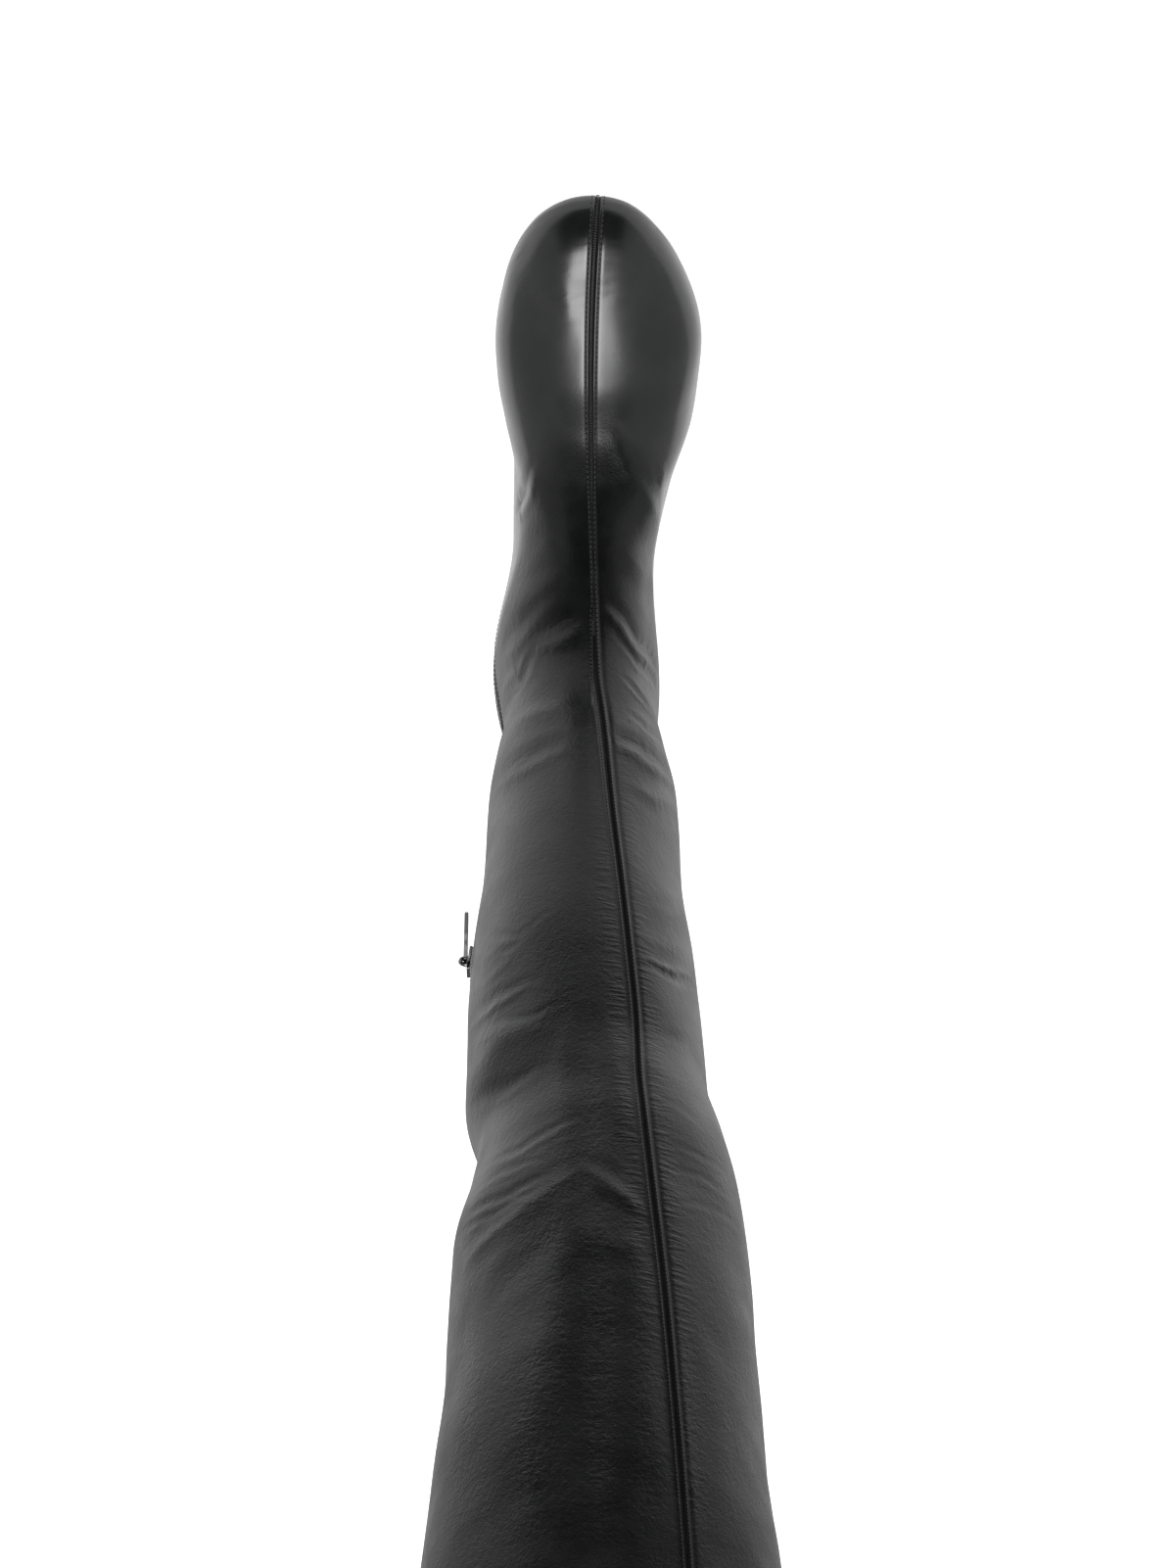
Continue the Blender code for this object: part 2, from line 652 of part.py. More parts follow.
def bail(collection):
    """The slider's half loop of wire, standing on the plate round the pull's bar."""
    curve = bpy.data.curves.new("bail", "CURVE")
    curve.dimensions = "3D"
    curve.bevel_depth = BAIL_WIRE
    curve.bevel_resolution = 2
    curve.use_fill_caps = True
    foot_height = CHAIN_PROUD + GAP + SLIDER_PLATE / 2
    arc = [(BAIL_RADIUS * math.cos(a), bar_height() + BAIL_RADIUS * math.sin(a))
           for a in np.linspace(0, math.pi, 11)]
    route = [(BAIL_RADIUS, foot_height), *arc, (-BAIL_RADIUS, foot_height)]
    line = curve.splines.new("POLY")
    line.points.add(len(route) - 1)
    for point, (y, z) in zip(line.points, route):
        point.co = (0, y, z, 1)
    return as_mesh("bail", curve, collection)


def join(target, other, operation):
    modifier = target.modifiers.new(other.name, "BOOLEAN")
    modifier.object = other
    modifier.operation = operation
    other.hide_render = True
    other.display_type = "WIRE"


def bevel(target, width, segments=2):
    modifier = target.modifiers.new("edge", "BEVEL")
    modifier.width = width
    modifier.segments = segments
    modifier.limit_method = "ANGLE"
    modifier.angle_limit = math.radians(50)


def zip_slider(material, collection, cutters):
    half = plate_outline()
    points = [*half, *[(-x, y) for x, y in reversed(half)]]
    plate = flat_mesh("zip_slider", [points], SLIDER_PLATE, collection)
    plate.data.transform(Matrix.Translation((0, 0, CHAIN_PROUD + GAP + SLIDER_PLATE / 2)))
    bevel(plate, SLIDER_PLATE * 0.25)
    join(plate, bail(cutters), "UNION")
    plate.data.materials.append(material)
    frame = slider_frame()
    plate.matrix_world = frame
    bpy.data.objects["bail"].matrix_world = frame
    return plate


def round_end(width, length, count=7):
    """The lower half of the pull's outline, ending in a half circle."""
    middle = -(length - width / 2)
    return [(width / 2 * math.cos(a), middle - width / 2 * math.sin(a)) for a in np.linspace(0, math.pi, count)]


def zip_pull(material, collection):
    """The pull tab: a flat bar that hangs from the bail, with a window that the bail passes through."""
    top = BAR_RADIUS
    window_end = -(BAIL_RADIUS + BAIL_WIRE + PULL_CLEARANCE)
    rim = [(PULL_WIDTH / 2, top), *round_end(PULL_WIDTH, PULL_LENGTH), (-PULL_WIDTH / 2, top)]
    window = [(-PULL_WINDOW / 2, -BAR_RADIUS), (PULL_WINDOW / 2, -BAR_RADIUS),
              (PULL_WINDOW / 2, window_end), (-PULL_WINDOW / 2, window_end)]
    pull = flat_mesh("zip_pull", [rim, window], PULL_THICKNESS, collection)
    bevel(pull, BAR_RADIUS * 0.3, 1)
    pull.data.materials.append(material)
    frame = slider_frame()
    across = frame.to_3x3().col[0].normalized()
    up = (Vector((0, 0, 1)) - across * across.z).normalized()
    turn = Matrix((across, up, across.cross(up))).transposed().to_4x4()
    pull.matrix_world = Matrix.Translation(frame @ Vector((0, 0, bar_height()))) @ turn
    return pull


def main():
    for old in list(bpy.data.objects):
        bpy.data.objects.remove(old)
    parts = bpy.data.collections.new(COLLECTION)
    cutters = bpy.data.collections.new(CUTTERS)
    for collection in (parts, cutters):
        bpy.context.scene.collection.children.link(collection)

    black_leather = leather("black_leather", (0.016, 0.017, 0.017), 0.40)
    sole_leather = leather("sole_leather", (0.020, 0.019, 0.018), 0.50)
    insole_leather = leather("insole_leather", (0.055, 0.045, 0.038), 0.65)
    lift_rubber = leather("lift_rubber", (0.012, 0.012, 0.012), 0.70)
    zip_black = leather("zip_black", (0.012, 0.012, 0.013), 0.45)
    gunmetal = leather("gunmetal", (0.10, 0.10, 0.105), 0.22, 1.0)

    rings = all_rings()
    upper(rings, black_leather, parts)
    outsole(sole_leather, parts)
    insole(insole_leather, parts)
    heel(black_leather, parts)
    top_piece(lift_rubber, parts)
    zip_strip(rings, zip_black, parts)
    zip_slider(gunmetal, parts, cutters)
    zip_pull(gunmetal, parts)


main()
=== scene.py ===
"""Looks of a thigh-high boot for the right foot, in black calf, built round its CAD frame.

Metres, +Z up, toe towards -Y, +X on the medial side, as in the CAD model. S is the distance forward from the
back of the heel, so Y = HEEL_CENTRE - S.
"""

import math

import bmesh
import bpy
import numpy as np
from mathutils import Matrix, Vector


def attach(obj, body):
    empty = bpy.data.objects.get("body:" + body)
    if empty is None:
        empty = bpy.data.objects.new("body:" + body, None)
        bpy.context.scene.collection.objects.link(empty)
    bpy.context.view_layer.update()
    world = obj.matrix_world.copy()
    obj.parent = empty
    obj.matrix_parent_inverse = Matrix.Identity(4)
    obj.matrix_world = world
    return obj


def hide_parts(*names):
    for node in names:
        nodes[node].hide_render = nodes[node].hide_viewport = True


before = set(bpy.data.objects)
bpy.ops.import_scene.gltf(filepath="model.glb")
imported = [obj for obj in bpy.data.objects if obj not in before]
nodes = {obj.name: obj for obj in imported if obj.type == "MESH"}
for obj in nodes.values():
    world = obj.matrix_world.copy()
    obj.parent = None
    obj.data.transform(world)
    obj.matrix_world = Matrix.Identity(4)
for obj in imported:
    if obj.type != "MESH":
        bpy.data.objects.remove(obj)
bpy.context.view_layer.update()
bpy.ops.object.select_all(action="DESELECT")


# THE UPPER
# Two panels of soft black calf, one for the inside of the leg and one for the outside. They are stitched together
# down the front and the back, pulled over a last while damp, and glued under the foot. The leather has creased
# where the ankle and the knee bend, and the toe has been polished.

# The last, with the same named sizes as the CAD model.
LAST_LENGTH = 0.250
BALL_WIDTH = 0.0925
INSTEP_HEIGHT = 0.090
HEEL_RISE = 0.056
TOE_SPRING = 0.006
TOE_SPRING_FROM = 0.77
TOE_ROUND = 0.078
TOE_BOX_ROUND = 0.026
TOE_SEAM_ASIDE = 0.0030
SEAM_SWAY = 0.0032
TOE_POWER = 2.15
HEEL_ROUND = 0.032
HEEL_CURVE = 0.044
END_POWER = 2.2
HEEL_CENTRE = 0.030
SOLE_THICKNESS = 0.0040
GAP = 0.0003
FEATHER_INSET = 0.0040
SLIMMEST = 0.0040

# The shaft.
BOOT_HEIGHT = 0.757
ANKLE_LEVEL = 0.165
ANKLE_AXIS = 0.057
ANKLE_BLEND = 0.036
SHAFT_FADE = 0.118
SHAFT_FADE_DEPTH = 0.115
PIVOT = (0.075, 0.062)
THIGH_WIDTH = 0.146
THIGH_DEPTH = 0.160
COLLAR_SLANT = 0.010
SHAFT_POWER = 2.15
ZIP_SHARE = 0.62
ZIP_FOOT = 0.25
ZIP_TOP = 0.318

# How finely it is worked out and divided.
RAYS = 720
PATH_STEPS = 420
FOOT_ROWS_FINE = 250
SHAFT_ROWS_FINE = 370
TOE_CROWDING = 0.35
PANEL_COLUMNS = 148

FOOT_COLUMNS = ("at", "rise", "top", "medial", "lateral", "fullest", "crown")
FOOT_ROWS = (
    (0.00, 1.000, 0.84, 0.345, 0.290, 0.40, 2.20),
    (0.10, 0.975, 0.90, 0.362, 0.287, 0.38, 2.20),
    (0.22, 0.875, 0.96, 0.378, 0.285, 0.36, 2.10),
    (0.36, 0.585, 1.00, 0.388, 0.305, 0.32, 1.95),
    (0.50, 0.240, 0.97, 0.385, 0.400, 0.28, 1.85),
    (0.58, 0.060, 0.84, 0.435, 0.495, 0.27, 1.90),
    (0.64, 0.000, 0.74, 0.465, 0.520, 0.28, 2.00),
    (0.72, 0.000, 0.59, 0.475, 0.535, 0.29, 2.10),
    (0.84, 0.000, 0.42, 0.465, 0.508, 0.24, 2.15),
    (1.00, 0.000, 0.25, 0.435, 0.460, 0.10, 2.20),
)
SHAFT_COLUMNS = ("level", "front", "back", "medial", "lateral", "seam")
SHAFT_ROWS = (
    (0.13, 0.240, 0.275, 0.272, 0.115, 0.000),
    (0.19, 0.262, 0.282, 0.260, 0.163, 0.010),
    (0.23, 0.270, 0.288, 0.294, 0.220, 0.021),
    (0.27, 0.285, 0.305, 0.314, 0.258, 0.035),
    (0.34, 0.305, 0.345, 0.330, 0.270, 0.058),
    (0.40, 0.318, 0.372, 0.360, 0.302, 0.083),
    (0.46, 0.325, 0.380, 0.372, 0.324, 0.106),
    (0.52, 0.325, 0.358, 0.372, 0.342, 0.126),
    (0.565, 0.335, 0.335, 0.330, 0.388, 0.132),
    (0.60, 0.352, 0.342, 0.350, 0.420, 0.144),
    (0.65, 0.372, 0.372, 0.402, 0.448, 0.163),
    (0.74, 0.402, 0.410, 0.414, 0.468, 0.198),
    (0.82, 0.432, 0.440, 0.444, 0.490, 0.222),
    (0.90, 0.458, 0.470, 0.476, 0.524, 0.243),
    (1.00, 0.490, 0.510, 0.508, 0.560, 0.265),
)


def smooth(at, xs, ys):
    """A monotone cubic curve through the points (xs, ys), read at every value of at."""
    gaps = np.diff(xs)
    slopes = np.diff(ys) / gaps
    turns = np.zeros(len(ys))
    turns[0], turns[-1] = slopes[0], slopes[-1]
    before, after = slopes[:-1], slopes[1:]
    same = before * after > 0
    turns[1:-1][same] = 2 * before[same] * after[same] / (before[same] + after[same])
    at = np.clip(at, xs[0], xs[-1])
    k = np.clip(np.searchsorted(xs, at, side="right") - 1, 0, len(gaps) - 1)
    t = (at - xs[k]) / gaps[k]
    ease = t * t * (3 - 2 * t)
    bend = gaps[k] * (t * (1 - t) ** 2 * turns[k] + t * t * (t - 1) * turns[k + 1])
    return (1 - ease) * ys[k] + ease * ys[k + 1] + bend


def table(columns, rows):
    return dict(zip(columns, np.array(rows, float).T))


FOOT = table(FOOT_COLUMNS, FOOT_ROWS)
SHAFT = table(SHAFT_COLUMNS, SHAFT_ROWS)


def foot(name, s):
    return smooth(s / LAST_LENGTH, FOOT["at"], FOOT[name])


def shaft(name, z):
    return smooth(z / BOOT_HEIGHT, SHAFT["level"], SHAFT[name])


def ease(t):
    t = np.clip(t, 0, 1)
    return t * t * (3 - 2 * t)


def feather(s):
    """Height of the feather line, where the upper meets the sole."""
    spring = np.clip((s / LAST_LENGTH - TOE_SPRING_FROM) / (1 - TOE_SPRING_FROM), 0, 1) ** 1.8
    return SOLE_THICKNESS + GAP + HEEL_RISE * foot("rise", s) + TOE_SPRING * spring


def rounding(part, power):
    return (1 - np.clip(part, 0, 1) ** power) ** (1 / power)


def outline(s, medial, inset):
    """Half width of the last's outline, pulled in all round by inset."""
    half = np.where(medial, foot("medial", s), foot("lateral", s)) * BALL_WIDTH - inset
    toe = rounding((s - LAST_LENGTH + TOE_ROUND) / (TOE_ROUND - inset), TOE_POWER)
    heel = rounding((HEEL_ROUND - s) / (HEEL_ROUND - inset), END_POWER)
    return half * toe * heel


def foot_field(x, s, z):
    """Below zero inside the foot, and about the distance to it outside."""
    low = feather(s)
    tall = foot("top", s) * INSTEP_HEIGHT
    widest = low + foot("fullest", s) * tall
    toe = rounding((s - LAST_LENGTH + TOE_BOX_ROUND) / TOE_BOX_ROUND, END_POWER)
    heel = rounding((HEEL_CURVE - s) / HEEL_CURVE, END_POWER)
    over = np.maximum((low + tall - widest) * toe * heel, 1e-4)
    under = np.clip((widest - z) / (widest - low), 0, 1)
    inset = FEATHER_INSET * under ** 2
    half = np.maximum(outline(s, x >= 0, inset), 1e-4)
    climb = np.maximum(z - widest, 0) / over
    crown = foot("crown", s)
    ratio = ((np.abs(x) / half) ** crown + climb ** crown) ** (1 / crown)
    past = np.maximum(s - (LAST_LENGTH - inset), inset - s)
    return np.maximum((ratio - 1) * np.maximum(half, SLIMMEST), past)


def shaft_field(x, s, z):
    """The same for the shaft."""
    front, back = shaft("front", z) * THIGH_DEPTH, shaft("back", z) * THIGH_DEPTH
    medial, lateral = shaft("medial", z) * THIGH_WIDTH, shaft("lateral", z) * THIGH_WIDTH
    across = np.abs(x - (medial - lateral) / 2) / ((medial + lateral) / 2)
    along = np.abs(s - ANKLE_AXIS - (front - back) / 2) / ((front + back) / 2)
    ratio = (across ** SHAFT_POWER + along ** SHAFT_POWER) ** (1 / SHAFT_POWER)
    fade = np.maximum(SHAFT_FADE - z, 0) ** 2 / SHAFT_FADE_DEPTH
    return (ratio - 1) * (medial + lateral) / 2 + fade


def field(x, s, z):
    """Foot and shaft, run together round the ankle."""
    a, b = foot_field(x, s, z), shaft_field(x, s, z)
    near = np.maximum(ANKLE_BLEND - np.abs(a - b), 0) / ANKLE_BLEND
    return np.minimum(a, b) - near * near * ANKLE_BLEND / 4


def reach(start, way, longest, inside_of=field):
    """The points at which rays leave the form. A ray is a row of (X, S, Z) and the way it goes."""
    low, high = np.zeros(way.shape[:-1]), np.full(way.shape[:-1], longest)
    for _ in range(26):
        middle = (low + high) / 2
        x, s, z = np.moveaxis(start + middle[..., None] * way, -1, 0)
        inside = inside_of(x, s, z) < 0
        low, high = np.where(inside, middle, low), np.where(inside, high, middle)
    return start + low[..., None] * way


class Ring:
    """A closed line of points round the boot. Arcs run from the front seam round the medial side."""

    def __init__(self, points, seam, back):
        self.loop = np.vstack([points, points[:1]])
        steps = np.linalg.norm(np.diff(self.loop, axis=0), axis=1)
        self.arcs = np.concatenate([[0], np.cumsum(steps)])
        self.length = self.arcs[-1]
        self.seam, self.back = self.arc_at(seam), self.arc_at(back)

    def arc_at(self, place):
        return float(np.interp(abs(place), np.arange(RAYS + 1), self.arcs)) * (1 if place >= 0 else -1)

    def at(self, arcs):
        arcs = (np.asarray(arcs) + self.seam) % self.length
        return np.column_stack([np.interp(arcs, self.arcs, self.loop[:, k]) for k in range(3)])

    def medial_length(self):
        return self.back - self.seam

    def zip_arc(self):
        return ZIP_SHARE * self.medial_length()


def shaft_rings(levels):
    """Rings of the shaft, level at the ankle and slanting a little towards the collar."""
    levels = np.asarray(levels, float)
    turn = np.arange(RAYS) * 2 * math.pi / RAYS
    slant = COLLAR_SLANT * ease((levels - ZIP_TOP) / (BOOT_HEIGHT - ZIP_TOP)) / THIGH_DEPTH
    middle = (shaft("medial", levels) - shaft("lateral", levels)) * THIGH_WIDTH / 2
    start = np.stack([middle, np.full(len(levels), ANKLE_AXIS), levels], axis=1)[:, None, :]
    flat = np.stack([np.sin(turn), np.cos(turn), np.zeros(RAYS)], axis=1)[None]
    way = np.repeat(flat, len(levels), axis=0)
    way[..., 2] = slant[:, None] * np.cos(turn)
    points = reach(start, way, 0.2)
    front = np.arange(-RAYS // 6, RAYS // 6 + 1)
    aside = -shaft("seam", levels) * THIGH_WIDTH
    turned = ease((levels - ANKLE_LEVEL) / (ZIP_TOP - ANKLE_LEVEL))
    found = []
    for k in range(len(levels)):
        seam = float(np.interp(aside[k], points[k, front, 0], front))
        found.append(Ring(points[k], seam, RAYS / 2 + seam * float(turned[k])))
    return found


def feather_ring():
    """The line where the upper meets the sole."""
    share = (1 + np.cos(np.arange(RAYS // 2 + 1) * 2 * math.pi / RAYS)) / 2
    s = FEATHER_INSET + (LAST_LENGTH - 2 * FEATHER_INSET) * share
    medial = np.column_stack([outline(s, True, FEATHER_INSET), s, feather(s)])
    lateral = np.column_stack([-outline(s, False, FEATHER_INSET), s, feather(s)])
    ring = Ring(np.vstack([medial, lateral[-2:0:-1]]), 0, RAYS / 2)
    ring.seam = -TOE_SEAM_ASIDE
    return ring


def spread(ring):
    """RAYS points of a ring: half of them evenly along the medial side, half along the lateral side."""
    there = np.linspace(0, ring.medial_length(), RAYS // 2, endpoint=False)
    back = np.linspace(ring.medial_length(), ring.length, RAYS // 2, endpoint=False)
    return ring.at(np.concatenate([there, back]))


def foot_rings(shares):
    """Rings over the foot. Each of RAYS paths climbs from the feather line to the ankle, on rays from PIVOT."""
    pivot = np.array([0, *PIVOT])
    ends = []
    for ring in (feather_ring(), shaft_rings([ANKLE_LEVEL])[0]):
        way = spread(ring) - pivot
        ends.append(way / np.linalg.norm(way, axis=1, keepdims=True))
    low, high = ends
    part = np.linspace(0, 1, PATH_STEPS)[:, None, None]
    angle = np.arccos(np.sum(low * high, axis=1))[None, :, None]
    way = (np.sin((1 - part) * angle) * low + np.sin(part * angle) * high) / np.sin(angle)
    paths = reach(pivot, way, 0.3)
    paths[0] = spread(feather_ring())
    steps = np.linalg.norm(np.diff(paths, axis=0), axis=2)
    lengths = np.vstack([np.zeros(RAYS), np.cumsum(steps, axis=0)])
    rings = np.empty((len(shares), RAYS, 3))
    for ray in range(RAYS):
        forward = (1 + math.cos(ray * 2 * math.pi / RAYS)) / 2
        at = shares ** (1 + TOE_CROWDING * forward) * lengths[-1, ray]
        for k in range(3):
            rings[:, ray, k] = np.interp(at, lengths[:, ray], paths[:, ray, k])
    found = [Ring(points, 0, RAYS / 2) for points in rings]
    for ring, share in zip(found, shares):
        ring.seam = SEAM_SWAY * math.sin(math.pi * share)
    return found


def to_world(points):
    """(X, S, Z) rows as (X, Y, Z)."""
    points = np.array(points, float)
    points[..., 1] = HEEL_CENTRE - points[..., 1]
    return points


foot_shares = np.arange(FOOT_ROWS_FINE) / FOOT_ROWS_FINE
below_zip_top = round(SHAFT_ROWS_FINE * (ZIP_TOP - ANKLE_LEVEL) / (BOOT_HEIGHT - ANKLE_LEVEL))
levels = np.concatenate([
    np.linspace(ANKLE_LEVEL, ZIP_TOP, below_zip_top, endpoint=False),
    np.linspace(ZIP_TOP, BOOT_HEIGHT, SHAFT_ROWS_FINE - below_zip_top),
])
rings = foot_rings(foot_shares) + shaft_rings(levels)
zip_first = round(ZIP_FOOT * FOOT_ROWS_FINE)
zip_last = FOOT_ROWS_FINE + below_zip_top

# Columns of a panel, as distances from the front seam: crowded into the channel of the seam, then even.
SEAM_COLUMNS = (0.0002, 0.0005, 0.0008, 0.0011, 0.0014, 0.0018, 0.0022, 0.0026, 0.0030, 0.0035, 0.0041, 0.0048,
                0.0057, 0.0068)
ZIP_COLUMNS = (-0.0052, -0.0036, -0.0012, 0.0012, 0.0036, 0.0052)
BEFORE_ZIP = 82
# Half the gap between the two panels at the back seam.
BACK_GAP = 0.0003


def inside_arcs(ring):
    """Columns of the inside panel, from the front seam past the zip to the back seam."""
    slot = [ring.zip_arc() + aside for aside in ZIP_COLUMNS]
    vamp = np.linspace(SEAM_COLUMNS[-1], slot[0], BEFORE_ZIP - len(SEAM_COLUMNS) + 2)[1:-1]
    after = PANEL_COLUMNS - BEFORE_ZIP - len(ZIP_COLUMNS)
    quarter = np.linspace(slot[-1], ring.medial_length() - BACK_GAP, after + 1)[1:]
    return np.concatenate([SEAM_COLUMNS, vamp, slot, quarter])


def outside_arcs(ring):
    """Columns of the outside panel, from the front seam the other way round to the back seam."""
    far = ring.length - ring.medial_length() - BACK_GAP
    side = np.linspace(SEAM_COLUMNS[-1], far, PANEL_COLUMNS - len(SEAM_COLUMNS) + 1)[1:]
    return -np.concatenate([SEAM_COLUMNS, side])


def sheet_normals(points):
    """Normals of a grid of rows and columns, pointing out where its columns run round the inside of the leg."""
    normals = np.cross(np.gradient(points, axis=1), np.gradient(points, axis=0))
    return normals / np.linalg.norm(normals, axis=2, keepdims=True)


front = to_world(np.array([ring.at([0])[0] for ring in rings]))
climb = np.concatenate([[0], np.cumsum(np.linalg.norm(np.diff(front, axis=0), axis=1))])
panels = {}
for side, arcs_of, turn in (("inside", inside_arcs, 1), ("outside", outside_arcs, -1)):
    arcs = np.array([arcs_of(ring) for ring in rings])
    points = to_world(np.array([ring.at(row) for ring, row in zip(rings, arcs)]))
    panels[side] = {"arcs": arcs, "points": points, "normals": sheet_normals(points) * turn, "turn": turn}

# Relief beside the front seam, by distance from it: the edges of the two panels turn down into a narrow channel,
# stand up in a ridge over their turnings, and are pulled in a little by the row of stitches.
CHANNEL = {
    "toe": ((0.0, -0.0013), (0.0005, -0.0012), (0.0010, -0.0008), (0.0013, -0.0001), (0.0017, 0.00022),
            (0.0022, 0.00004), (0.0026, -0.00036), (0.0030, -0.00002), (0.0041, 0.00006), (0.0080, 0.0)),
    "inside": ((0.0, -0.0012), (0.0004, -0.0009), (0.0007, -0.0001), (0.0011, 0.00002), (0.0015, -0.00022),
               (0.0018, 0.00012), (0.0022, 0.00060), (0.0026, 0.00042), (0.0030, 0.00008), (0.0041, -0.00006),
               (0.0067, -0.00008), (0.0140, 0.0)),
    "outside": ((0.0, -0.0012), (0.0004, -0.0010), (0.0008, -0.0001), (0.0011, 0.00030), (0.0018, 0.00034),
                (0.0022, 0.00004), (0.0026, -0.00050), (0.0030, -0.00068), (0.0035, -0.00060),
                (0.0041, -0.00034), (0.0048, -0.00012), (0.0067, -0.00003), (0.0100, 0.0))}
CHANNEL_TURNS = (0.10, 0.17)
# It starts shallow at the tip of the toe and is at its full depth a little further up.
CHANNEL_AT_TIP, TIP, TIP_LENGTH = 0.3, 0.002, 0.010

# The toe box stands out a little over the sole's edge, most on the inside: by climb, and by place round the toe.
TOE_STANDS_OUT = ((0.0, 0.0008), (0.004, 0.0020), (0.008, 0.0025), (0.012, 0.0023), (0.018, 0.0017),
                  (0.026, 0.0008), (0.034, 0.0002), (0.042, 0.0))
TOE_STANDS_OUT_ROUND = ((-0.050, 0.0), (-0.030, 0.3), (-0.012, 0.9), (0.0, 1.0), (0.030, 1.0), (0.050, 0.5),
                        (0.070, 0.0))
BACK_SEAM = ((0.0, -0.0007), (0.0010, -0.0002), (0.0022, 0.00015), (0.0045, 0.0))
HEM_DEPTH = 0.012
HEM_STEP = 0.0006
HEM_EDGE = 0.0012

# Turnings of the panels' free edges: how far past the edge each line of them lies, and how far in behind it.
COLLAR_TURNING = ((0.0002, 0.0001), (0.0004, 0.0004), (0.0003, 0.0009), (0.0, 0.0012), (-0.004, 0.0013))
FOOT_TURNING = ((0.0001, 0.0001), (0.0001, 0.0006), (0.0, 0.0014))
SLOT_TURNING = ((0.0002, 0.0001), (0.0003, 0.0004), (0.0002, 0.0009), (-0.001, 0.0012))

# By climb from the toe: how far the leather is stiffened from inside and polished, and how far it takes to fade.
STIFF_TO, STIFF_FADE = 0.10, 0.10
POLISHED_TO, POLISH_FADE = 0.088, 0.045
# Wrinkles lie beside a crease, most where it is deepest, and a few everywhere on the shaft.
WRINKLES_A_METRE, WRINKLES_LEAST = 1400, 0.05
# Swells as (span, height), on the soft shaft and on the stiff toe. They fade out towards the front seam.
SHAFT_SWELLS = ((0.11, 0.00030), (0.040, 0.00005))
TOE_SWELLS = (0.06, 0.00008)
CALM_BESIDE_SEAM, CALM_FADE = 0.003, 0.012
# Creases are weaker over the front seam, and fade out beside the zip and past its ends.
CREASE_AT_SEAM, SEAM_HALF, SEAM_FADE = 0.35, 0.002, 0.008
ZIP_HALF, ZIP_FADE, BELOW_ZIP, ABOVE_ZIP = 0.004, 0.010, 0.01, 0.012

